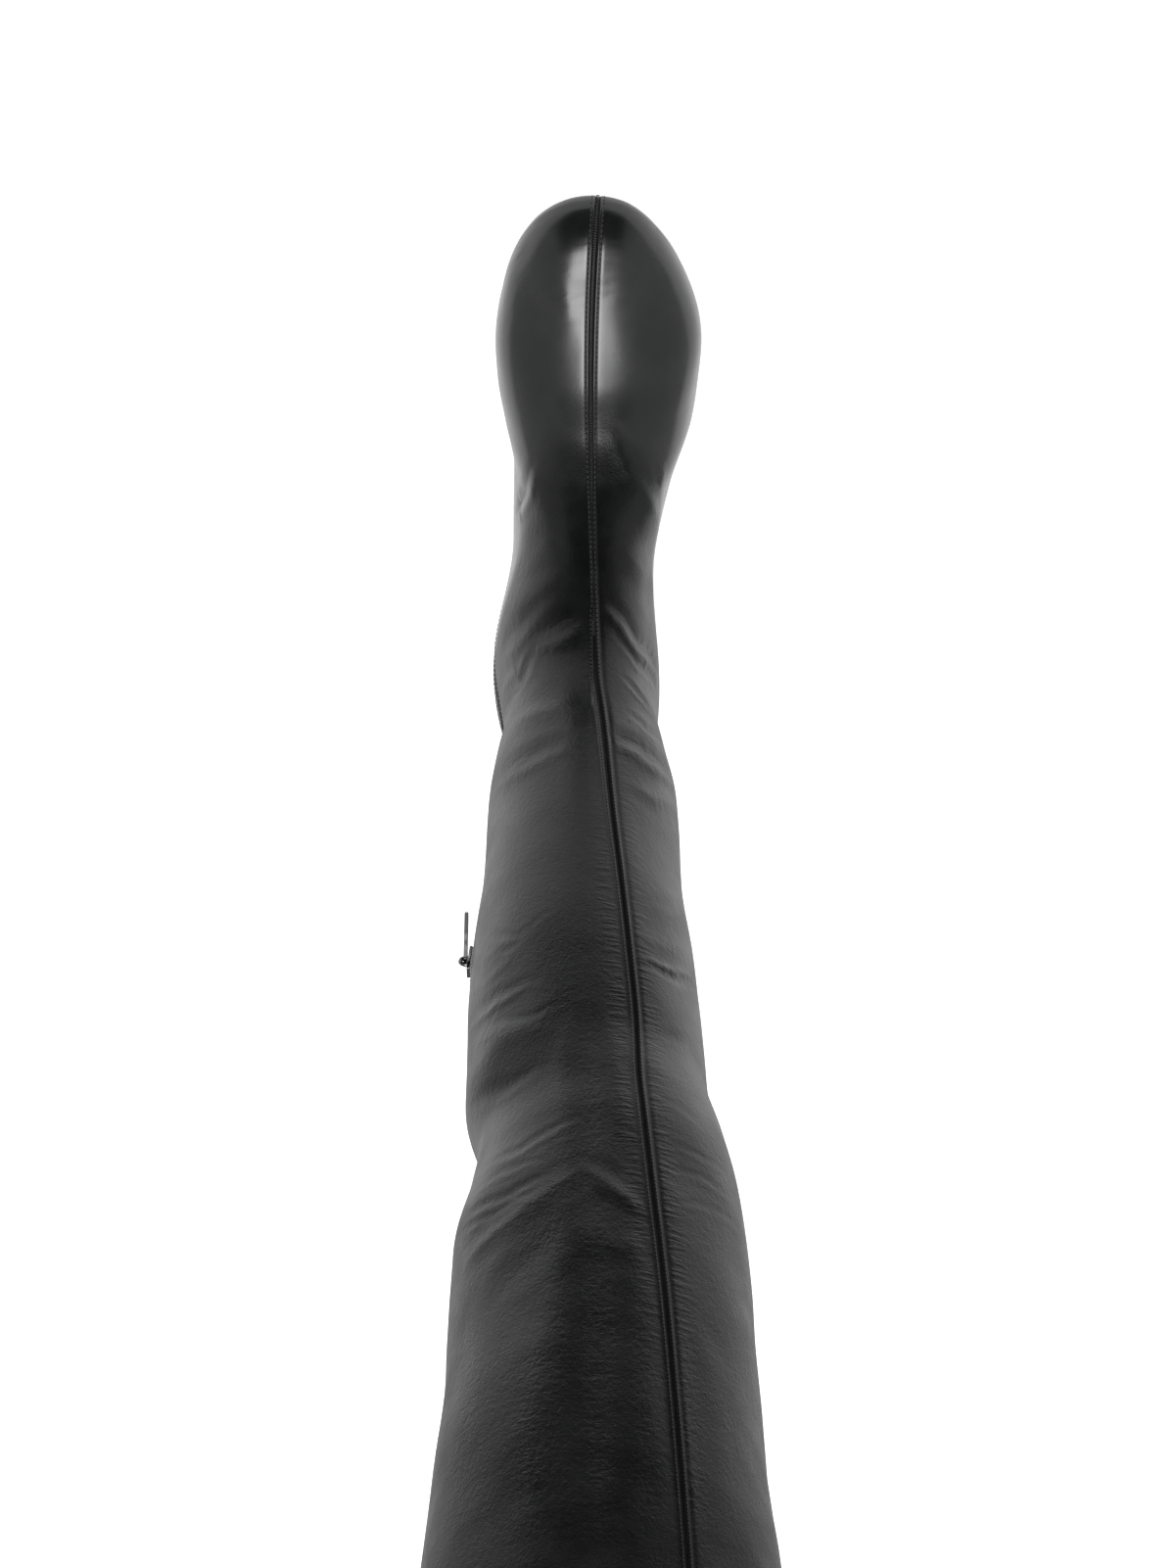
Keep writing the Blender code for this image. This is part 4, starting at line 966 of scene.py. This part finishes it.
rows_of_stitches, rows_of_holes = [], []
up_shaft = ease((climb[3:, None] - CHANNEL_TURNS[0]) / (CHANNEL_TURNS[1] - CHANNEL_TURNS[0]))
for side, turn in (("inside", SLANT), ("outside", -SLANT)):
    panel = panels[side]
    low, high = SEAM_COLUMNS.index(SEAM_ROW["toe"]), SEAM_COLUMNS.index(SEAM_ROW[side])
    path, out = [panel[label][3:, low] * (1 - up_shaft) + panel[label][3:, high] * up_shaft
                 for label in ("points", "normals")]
    rows_of_stitches.append(frames_along(path, out, STITCH_PITCH, SEAM_LIFT, turn=turn))
    rows_of_holes.append(frames_along(path, out, STITCH_PITCH, HOLE_LIFT, start=1.0))
# Short cross stitches lie in the channel from the toe to the instep.
channel_rows = slice(5, int(np.argmin(np.abs(climb - CROSS_STITCHES_TO))))
rows_of_stitches.append(row_of(inner, channel_rows, 0, CROSS_LIFT, STITCH_PITCH / 2, CROSS_TURN))
for column in (BEFORE_ZIP - 1, BEFORE_ZIP + 6):
    rows_of_stitches.append(row_of(inner, slice(zip_first - 3, zip_last + 3), column))
hem_row = int(np.argmin(np.abs(climb - (climb[-1] - HEM_DEPTH + HEM_ROW))))
for panel in (inner, outer):
    rows_of_stitches.append(row_of(panel, hem_row, slice(None)))
stitches = copies_of(stitch, np.concatenate(rows_of_stitches), "stitches")

# The needle's holes, between the stitches beside the front seam. Each is a small mark that sits just over the leather,
# near black and with almost no reflection: painted shade for the hollow of a real hole.
bpy.context.view_layer.objects.active = stitch
stitch.select_set(True)
resize_mesh(HOLE_SIZE[0] / STITCH_LENGTH, HOLE_SIZE[1] / THREAD, HOLE_SIZE[2] / THREAD)
needle_hole_shade_marks = copies_of(stitch, np.concatenate(rows_of_holes), "needle_hole_shade_marks")
bpy.data.objects.remove(stitch)


def hole_shade_material():
    """Painted shade for the hollow of a needle's hole: near black and fibrous, with almost no reflection."""
    hole = Finish("needle_hole")
    fibre = noise(hole.tree, object_place(hole.tree), 3800.0, 1.0)
    hole.set("Roughness", ramp(hole.tree, fibre, 0.3, 0.7, 0.85, 1.0))
    hole.paint(fibre, (0.0008,) * 3, (0.0020,) * 3)
    hole.set("Specular IOR Level", 0.05)
    return hole.material


needle_hole_shade_marks.data.materials.append(hole_shade_material())
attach(needle_hole_shade_marks, "boot")


def thread_material():
    """Waxed nylon thread: two fine plies twisted together, a little shinier than the leather."""
    thread = Finish("black_thread")
    ply = noise(thread.tree, object_place(thread.tree), 5200.0, 1.0)
    thread.emboss(ply, 0.5, 0.0001)
    # The plies' bump also sets the colour: painted shade where they dip, painted light where they rise.
    thread.paint(ply, (0.012,) * 3, (0.040,) * 3)
    thread.set("Roughness", ramp(thread.tree, ply, 0.2, 0.8, 0.34, 0.5))
    return thread.material


stitches.data.materials.append(thread_material())
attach(stitches, "boot")


# THE ZIP
# A closed nylon coil zip with black woven tapes, sewn in behind the folded edges of the inside panel.
TAPE_DEPTH = 0.0011
TAPE_HALF = 0.0072
TAPE_THICKNESS = 0.00025
TAPE_COLUMNS = 13
# The tape steps back behind the leather this far from the zip's middle.
TAPE_STEP, TAPE_STEP_AT = 0.0004, 0.0038
TOOTH_PITCH = 0.0016
TOOTH_SIZE = (0.00095, 0.0026, 0.0011)
TOOTH_BEVEL = 0.00032
COIL_ASIDE, COIL_LIFT, COIL_TURN = 0.00075, -0.0005, 0.10


def zip_line(aside):
    """The zip's path, a distance to one side of its middle, on the bare form."""
    return to_world(np.array([ring.at([ring.zip_arc() + aside])[0] for ring in rings[zip_first:zip_last + 1]]))


def zip_normals():
    across = zip_line(0.003) - zip_line(-0.003)
    normals = np.cross(across, np.gradient(zip_line(0), axis=0))
    return normals / np.linalg.norm(normals, axis=1, keepdims=True)


def make_tape():
    out = zip_normals()
    asides = np.linspace(-TAPE_HALF, TAPE_HALF, TAPE_COLUMNS)
    depths = TAPE_DEPTH + TAPE_STEP * (np.abs(asides) > TAPE_STEP_AT)
    grid = np.array([zip_line(aside) - out * depth for aside, depth in zip(asides, depths)])[:, ::3]
    columns, rows = grid.shape[:2]
    index = np.arange(rows * columns).reshape(columns, rows)
    quads = np.stack([index[:-1, :-1], index[1:, :-1], index[1:, 1:], index[:-1, 1:]], axis=2).reshape(-1, 4)
    mesh = bpy.data.meshes.new("zip_tape")
    mesh.from_pydata(grid.reshape(-1, 3).tolist(), [], quads.tolist())
    up = np.concatenate([[0], np.cumsum(np.linalg.norm(np.diff(grid[0], axis=0), axis=1))])
    place_on = np.stack(np.meshgrid(asides, up, indexing="ij"), axis=2).reshape(-1, 2)
    lay_uv(mesh, "tape", place_on)
    return thicken(add_object("zip_tape", mesh), TAPE_THICKNESS)


def tooth_shape():
    """One turn of the coil, lying across the zip along Y: a small rounded bar with a thick head."""
    bpy.ops.object.select_all(action="DESELECT")
    bpy.ops.mesh.primitive_cube_add(size=1)
    tooth = bpy.context.object
    resize_mesh(*TOOTH_SIZE)
    bpy.ops.object.mode_set(mode="EDIT")
    bpy.ops.mesh.bevel(offset=TOOTH_BEVEL, segments=2)
    bpy.ops.object.mode_set(mode="OBJECT")
    return tooth


tape = make_tape()
tooth = tooth_shape()
out = zip_normals()
tooth_frames = []
for way, start in ((-1, 0.25), (1, 0.75)):
    tooth_frames.append(frames_along(zip_line(way * COIL_ASIDE), out, TOOTH_PITCH, COIL_LIFT, start, -way * COIL_TURN))
teeth = copies_of(tooth, np.concatenate(tooth_frames), "zip_teeth")
bpy.data.objects.remove(tooth)


def tape_material():
    """Woven polyester tape: ribs along it, crossed by finer threads."""
    weave = Finish("zip_tape_weave")
    sheet = node(weave.tree, "ShaderNodeUVMap", uv_map="tape").outputs["UV"]
    ribs, threads = [
        node(weave.tree, "ShaderNodeTexWave", {"Vector": sheet, "Scale": scale, "Distortion": 0.4, "Detail": 1.0},
             bands_direction=way).outputs["Fac"] for scale, way in ((450.0, "X"), (620.0, "Y"))]
    woven = times(weave.tree, ribs, threads)
    weave.emboss(woven, 0.8, 0.00012)
    # The weave's height also sets its colour: painted shade in the hollows between the threads, painted light on their
    # raised crossings.
    weave.paint(woven, (0.006, 0.006, 0.007), (0.022, 0.022, 0.024))
    weave.set("Roughness", ramp(weave.tree, woven, 0.0, 1.0, 0.85, 0.65))
    return weave.material


tape.data.materials.append(tape_material())
teeth.data.materials.append(
    grained("black_nylon", (0.010, 0.010, 0.011), (0.018, 0.018, 0.019), 0.34, 0.0, 0.01, ior=1.5))
for piece in (tape, teeth):
    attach(piece, "boot")
    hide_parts("zip_strip")


# THE SLIDER AND THE PULL
# Die-cast zinc, polished and plated with black nickel, which has worn brighter in places. The pull hangs from the
# slider's bail.
def plated_material():
    plated = Finish("black_nickel")
    place_in = object_place(plated.tree)
    cast = noise(plated.tree, place_in, 700.0, 3.0)
    plated.emboss(cast, 0.25, 0.0001)
    rubbed = ramp(plated.tree, noise(plated.tree, place_in, 160.0, 2.0), 0.45, 0.7)
    plated.paint(rubbed, (0.070, 0.070, 0.074), (0.180, 0.178, 0.175))
    plated.set("Metallic", 1.0)
    plated.set("Roughness", ramp(plated.tree, cast, 0.3, 0.7, 0.16, 0.28))
    return plated.material


black_nickel = plated_material()
for name in ("zip_slider", "zip_pull"):
    nodes[name].data.materials.clear()
    nodes[name].data.materials.append(black_nickel)


# THE INSOLE
# A leather sock glued over the insole board, dark and matt from wear.
nodes["insole"].data.materials.clear()
nodes["insole"].data.materials.append(
    grained("sock_leather", (0.038, 0.030, 0.025), (0.070, 0.057, 0.048), 0.66, 0.04, 0.04))


# THE OUTSOLE
# Thin sole leather, cut to the last's outline, with its edge trimmed, dyed black and waxed.
SOLE_EDGE = 0.0030
WAIST_THICKNESS = 0.0030


def sole_thickness(s):
    """Full under the ball and toe, thinner in the waist and under the heel."""
    thin = ease((0.60 * LAST_LENGTH - s) / (0.20 * LAST_LENGTH))
    return SOLE_THICKNESS + (WAIST_THICKNESS - SOLE_THICKNESS) * thin


def plan_layer(stations, inset, height):
    """The last's outline pulled in by inset, at the height that a function of S gives: its two sides."""
    sides = []
    for medial in (True, False):
        half = outline(stations, medial, inset) * (1 if medial else -1)
        half[[0, -1]] = 0
        sides.append(to_world(np.column_stack([half, stations, height(stations)])))
    return sides


def slab(name, layers, ribs=6):
    """A closed solid through layers, each made of two rows of points from heel to toe, with a ribbed top and foot."""
    rim = [np.vstack([medial, lateral[-2:0:-1]]) for medial, lateral in layers]
    count = len(rim[0])
    points, faces = list(np.vstack(rim)), []
    for layer in range(len(rim) - 1):
        for k in range(count):
            after = (k + 1) % count
            a, b = layer * count, (layer + 1) * count
            faces.append((a + k, a + after, b + after, b + k))
    for end, (medial, lateral) in ((0, layers[0]), (len(rim) - 1, layers[-1])):
        stations = len(medial)
        rows = [[end * count + k for k in range(stations)]]
        for part in range(1, ribs):
            share = part / ribs
            row = [rows[0][0]]
            for k in range(1, stations - 1):
                row.append(len(points))
                points.append(medial[k] * (1 - share) + lateral[k] * share)
            rows.append(row + [rows[0][-1]])
        rows.append([rows[0][0]] + [end * count + count - k for k in range(1, stations - 1)] + [rows[0][-1]])
        for row, following in zip(rows, rows[1:]):
            for k in range(stations - 1):
                corners = [row[k], row[k + 1], following[k + 1], following[k]]
                faces.append(tuple(dict.fromkeys(corners)))
    mesh = bpy.data.meshes.new(name)
    mesh.from_pydata([tuple(p) for p in points], [], faces)
    bm = bmesh.new()
    bm.from_mesh(mesh)
    bmesh.ops.remove_doubles(bm, verts=bm.verts, dist=1e-7)
    bmesh.ops.recalc_face_normals(bm, faces=bm.faces)
    bm.to_mesh(mesh)
    bm.free()
    made = add_object(name, mesh)
    mesh.set_sharp_from_angle(angle=math.radians(35))
    return made


def stations_along(inset, count):
    share = (1 - np.cos(np.linspace(0, math.pi, count))) / 2
    return inset + (LAST_LENGTH - 2 * inset) * share


SOLE_PROFILE = ((0.0004, 0.0), (0.0, 0.12), (0.0, 0.30), (0.0001, 0.6), (0.0003, 0.8), (0.0007, 0.93), (0.0012, 1.0))
sole_layers = []
for inset, drop in SOLE_PROFILE:
    stations = stations_along(SOLE_EDGE + inset, 110)
    sole_layers.append(plan_layer(stations, SOLE_EDGE + inset,
                                  lambda s, drop=drop: feather(s) - GAP - sole_thickness(s) * drop))
outsole = slab("sole", sole_layers)
outsole.data.materials.append(
    grained("sole_leather", (0.012, 0.011, 0.010), (0.028, 0.026, 0.023), 0.42, 0.02, 0.05, ior=1.45))
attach(outsole, "boot")
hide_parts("outsole")


# THE HEEL AND ITS TOP PIECE
# A block of plastic covered with the same calf, with a rubber top piece nailed and glued to its foot.
HEEL_LENGTH = 0.057
HEEL_TAPER = 0.16
HEEL_UNDERCUT = 0.006
BREAST_SLOPE = 0.004
TOP_PIECE = 0.005
HEEL_EDGE = 0.0005


def heel_layer(depth, height, inset=0.0, count=44):
    """The heel's outline at a depth from 0, under the seat, to 1, at the floor."""
    back = SOLE_EDGE + HEEL_UNDERCUT * depth ** 1.5 + inset
    breast = HEEL_LENGTH - BREAST_SLOPE * depth - inset
    share = 1 - np.cos(np.linspace(0, math.pi / 2, count))
    seat = SOLE_EDGE + (HEEL_LENGTH - SOLE_EDGE) * share
    stations = back + (breast - back) * share
    sides = []
    for medial in (True, False):
        half = outline(seat, medial, SOLE_EDGE) * (1 - HEEL_TAPER * depth)
        half = np.maximum(half - inset, 0) * (1 if medial else -1)
        half[0] = 0
        sides.append(to_world(np.column_stack([half, stations, height(stations)])))
    return sides


def breast_closed(layers):
    """Adds the middle of the breast as the last station of each layer, so that the two sides meet there."""
    closed = []
    for medial, lateral in layers:
        middle = (medial[-1] + lateral[-1]) / 2
        closed.append((np.vstack([medial, middle]), np.vstack([lateral, middle])))
    return closed


def heel_height(s, depth):
    seat = feather(s) - GAP - sole_thickness(s) - GAP
    return seat * (1 - depth) + (TOP_PIECE + GAP) * depth


depths = [0.0, 0.012] + list(np.linspace(0.04, 0.96, 20)) + [0.988, 1.0]
insets = [HEEL_EDGE] + [0.0] * (len(depths) - 2) + [HEEL_EDGE]
heel_block = slab("heel_block", breast_closed(
    [heel_layer(d, lambda s, d=d: heel_height(s, d), inset) for d, inset in zip(depths, insets)]))
heel_block.data.materials.append(
    grained("heel_calf", CALF_BLACK, CALF_WORN, 0.36, 0.05, 0.03, coat=0.15, ior=1.4))
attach(heel_block, "boot")
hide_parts("heel")

lift_heights = ((TOP_PIECE, 0.0003), (TOP_PIECE - 0.0004, 0.0), (0.0008, 0.0), (0.0, 0.0006))
top_piece = slab("top_piece", breast_closed(
    [heel_layer(1.0, lambda s, z=z: np.full(len(s), z), inset) for z, inset in lift_heights]))
top_piece.data.materials.append(
    grained("lift_rubber", (0.010, 0.010, 0.010), (0.018, 0.018, 0.018), 0.62, 0.03, 0.08, ior=1.5))
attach(top_piece, "boot")
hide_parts("heel_top_piece")


# THE FLOOR, THE LIGHT AND THE CAMERA
# A plain white floor and a pale room, with one long soft box over the toe. Two black cards, out of the picture,
# keep the light off the front of the boot: one lies on the floor round it, one stands before it. The camera looks
# down the front of the boot, turned so that the toe points up the picture.
FLOOR_GLOW = 2.65
ROOM_LIGHT = 0.85
LONG_BOX_AT = (0.05, -0.42, 3.3)
LONG_BOX_AIM = (0.05, -0.42, 0.0)
LONG_BOX_SIZE = (1.25, 2.45)
LONG_BOX_POWER = 140.0

bpy.ops.object.select_all(action="DESELECT")
bpy.ops.mesh.primitive_plane_add(size=9, location=(0, 0, 0))
floor = bpy.context.object
floor.name = "floor"


def floor_material():
    floor_paper = Finish("white_floor")
    paper = noise(floor_paper.tree, object_place(floor_paper.tree), 3.0, 2.0)
    tone = floor_paper.paint(paper, (0.35,) * 3, (0.37,) * 3)
    floor_paper.set("Roughness", 0.9)
    floor_paper.set("Specular IOR Level", 0.1)
    floor_paper.set("Emission Color", tone)
    floor_paper.set("Emission Strength", FLOOR_GLOW)
    return floor_paper.material


floor.data.materials.append(floor_material())


def card_material(name, lying):
    """Black felt, thinned out towards the card's edges so that it leaves no line in the leather."""
    felt = Finish(name)
    place_in = object_place(felt.tree)
    felt.paint(noise(felt.tree, place_in, 60.0, 1.0), (0.010,) * 3, (0.016,) * 3)
    felt.set("Roughness", 1.0)
    felt.set("Specular IOR Level", 0.0)
    parts = node(felt.tree, "ShaderNodeSeparateXYZ", {"Vector": place_in}).outputs
    aside = math_node(felt.tree, "ABSOLUTE", parts["X"])
    if lying:
        before = times(felt.tree, parts["Y"], -1.0)
        let_through = times(felt.tree, ramp(felt.tree, before, 0.28, 0.46, 1.0, 0.02),
                            ramp(felt.tree, aside, 0.30, 0.66, 1.0, 0.32))
        covers = math_node(felt.tree, "SUBTRACT", 1.0, let_through)
    else:
        covers = times(felt.tree, ramp(felt.tree, aside, 0.8, 2.0, 0.96, 0.0),
                       ramp(felt.tree, parts["Y"], 0.85, 1.2, 1.0, 0.0))
    felt.set("Alpha", covers)
    return felt.material


for card_name, card_size, card_at, card_turn in (("floor_card", (8, 8), (0, 0, 0.004), 0.0),
                                                 ("front_card", (4.4, 2.4), (0, -1.3, 1.2), math.pi / 2)):
    bpy.ops.object.select_all(action="DESELECT")
    bpy.ops.mesh.primitive_plane_add(size=1, location=card_at, rotation=(card_turn, 0, 0))
    card = bpy.context.object
    card.name = card_name
    bpy.ops.object.mode_set(mode="EDIT")
    bpy.ops.mesh.select_all(action="SELECT")
    wide, deep = card_size
    bpy.ops.transform.resize(value=(wide, 1, deep) if card_turn else (wide, deep, 1))
    bpy.ops.object.mode_set(mode="OBJECT")
    card.data.materials.append(card_material(card_name, card_turn == 0.0))
    card.visible_camera = False
    card.visible_shadow = False


def soft_box(name, place_at, aim, size, power):
    light = bpy.data.lights.new(name, "AREA")
    light.shape = "RECTANGLE"
    light.size, light.size_y = size
    light.energy = power
    made = bpy.data.objects.new(name, light)
    made.location = place_at
    made.rotation_euler = (Vector(aim) - Vector(place_at)).to_track_quat("-Z", "Y").to_euler()
    bpy.context.scene.collection.objects.link(made)
    return made


soft_box("long_box", LONG_BOX_AT, LONG_BOX_AIM, LONG_BOX_SIZE, LONG_BOX_POWER)

world = bpy.data.worlds.new("studio")
bpy.context.scene.world = world
world.use_nodes = True
backdrop = world.node_tree.nodes["Background"]
backdrop.inputs["Color"].default_value = (ROOM_LIGHT, ROOM_LIGHT, ROOM_LIGHT, 1)
bpy.context.scene.view_settings.view_transform = "Standard"

# The camera: how far down it looks, how far off it stands and its lens.
TILT = math.radians(47)
DISTANCE = 3.5
LENS = 183.4
LOOK_AT = Vector((0.0, 0.0, 0.30))
ahead = Vector((0, math.cos(TILT), -math.sin(TILT)))
top_of_picture = -Vector((0, math.sin(TILT), math.cos(TILT)))
right_of_picture = Vector((-1, 0, 0))
# The look-at point stands this far right of and below the picture's middle, in picture heights.
BESIDE, BELOW = 5.0 / 1601, 220.2 / 1601
FILM_HEIGHT, FILM_WIDTH = 36.0, 27.0
per_height = FILM_HEIGHT / LENS
ahead_now = (ahead + top_of_picture * BELOW * per_height - right_of_picture * BESIDE * per_height).normalized()
right_now = ahead_now.cross(top_of_picture).normalized()
top_now = right_now.cross(ahead_now)
camera_data = bpy.data.cameras.new("camera")
camera_data.sensor_fit = "VERTICAL"
camera_data.sensor_height = FILM_HEIGHT
camera_data.sensor_width = FILM_WIDTH
camera_data.lens = LENS
camera_data.clip_end = 30
camera = bpy.data.objects.new("camera", camera_data)
camera.matrix_world = Matrix.Translation(LOOK_AT - ahead * DISTANCE) @ Matrix(
    (right_now, top_now, -ahead_now)).transposed().to_4x4()
bpy.context.scene.collection.objects.link(camera)
bpy.context.scene.camera = camera
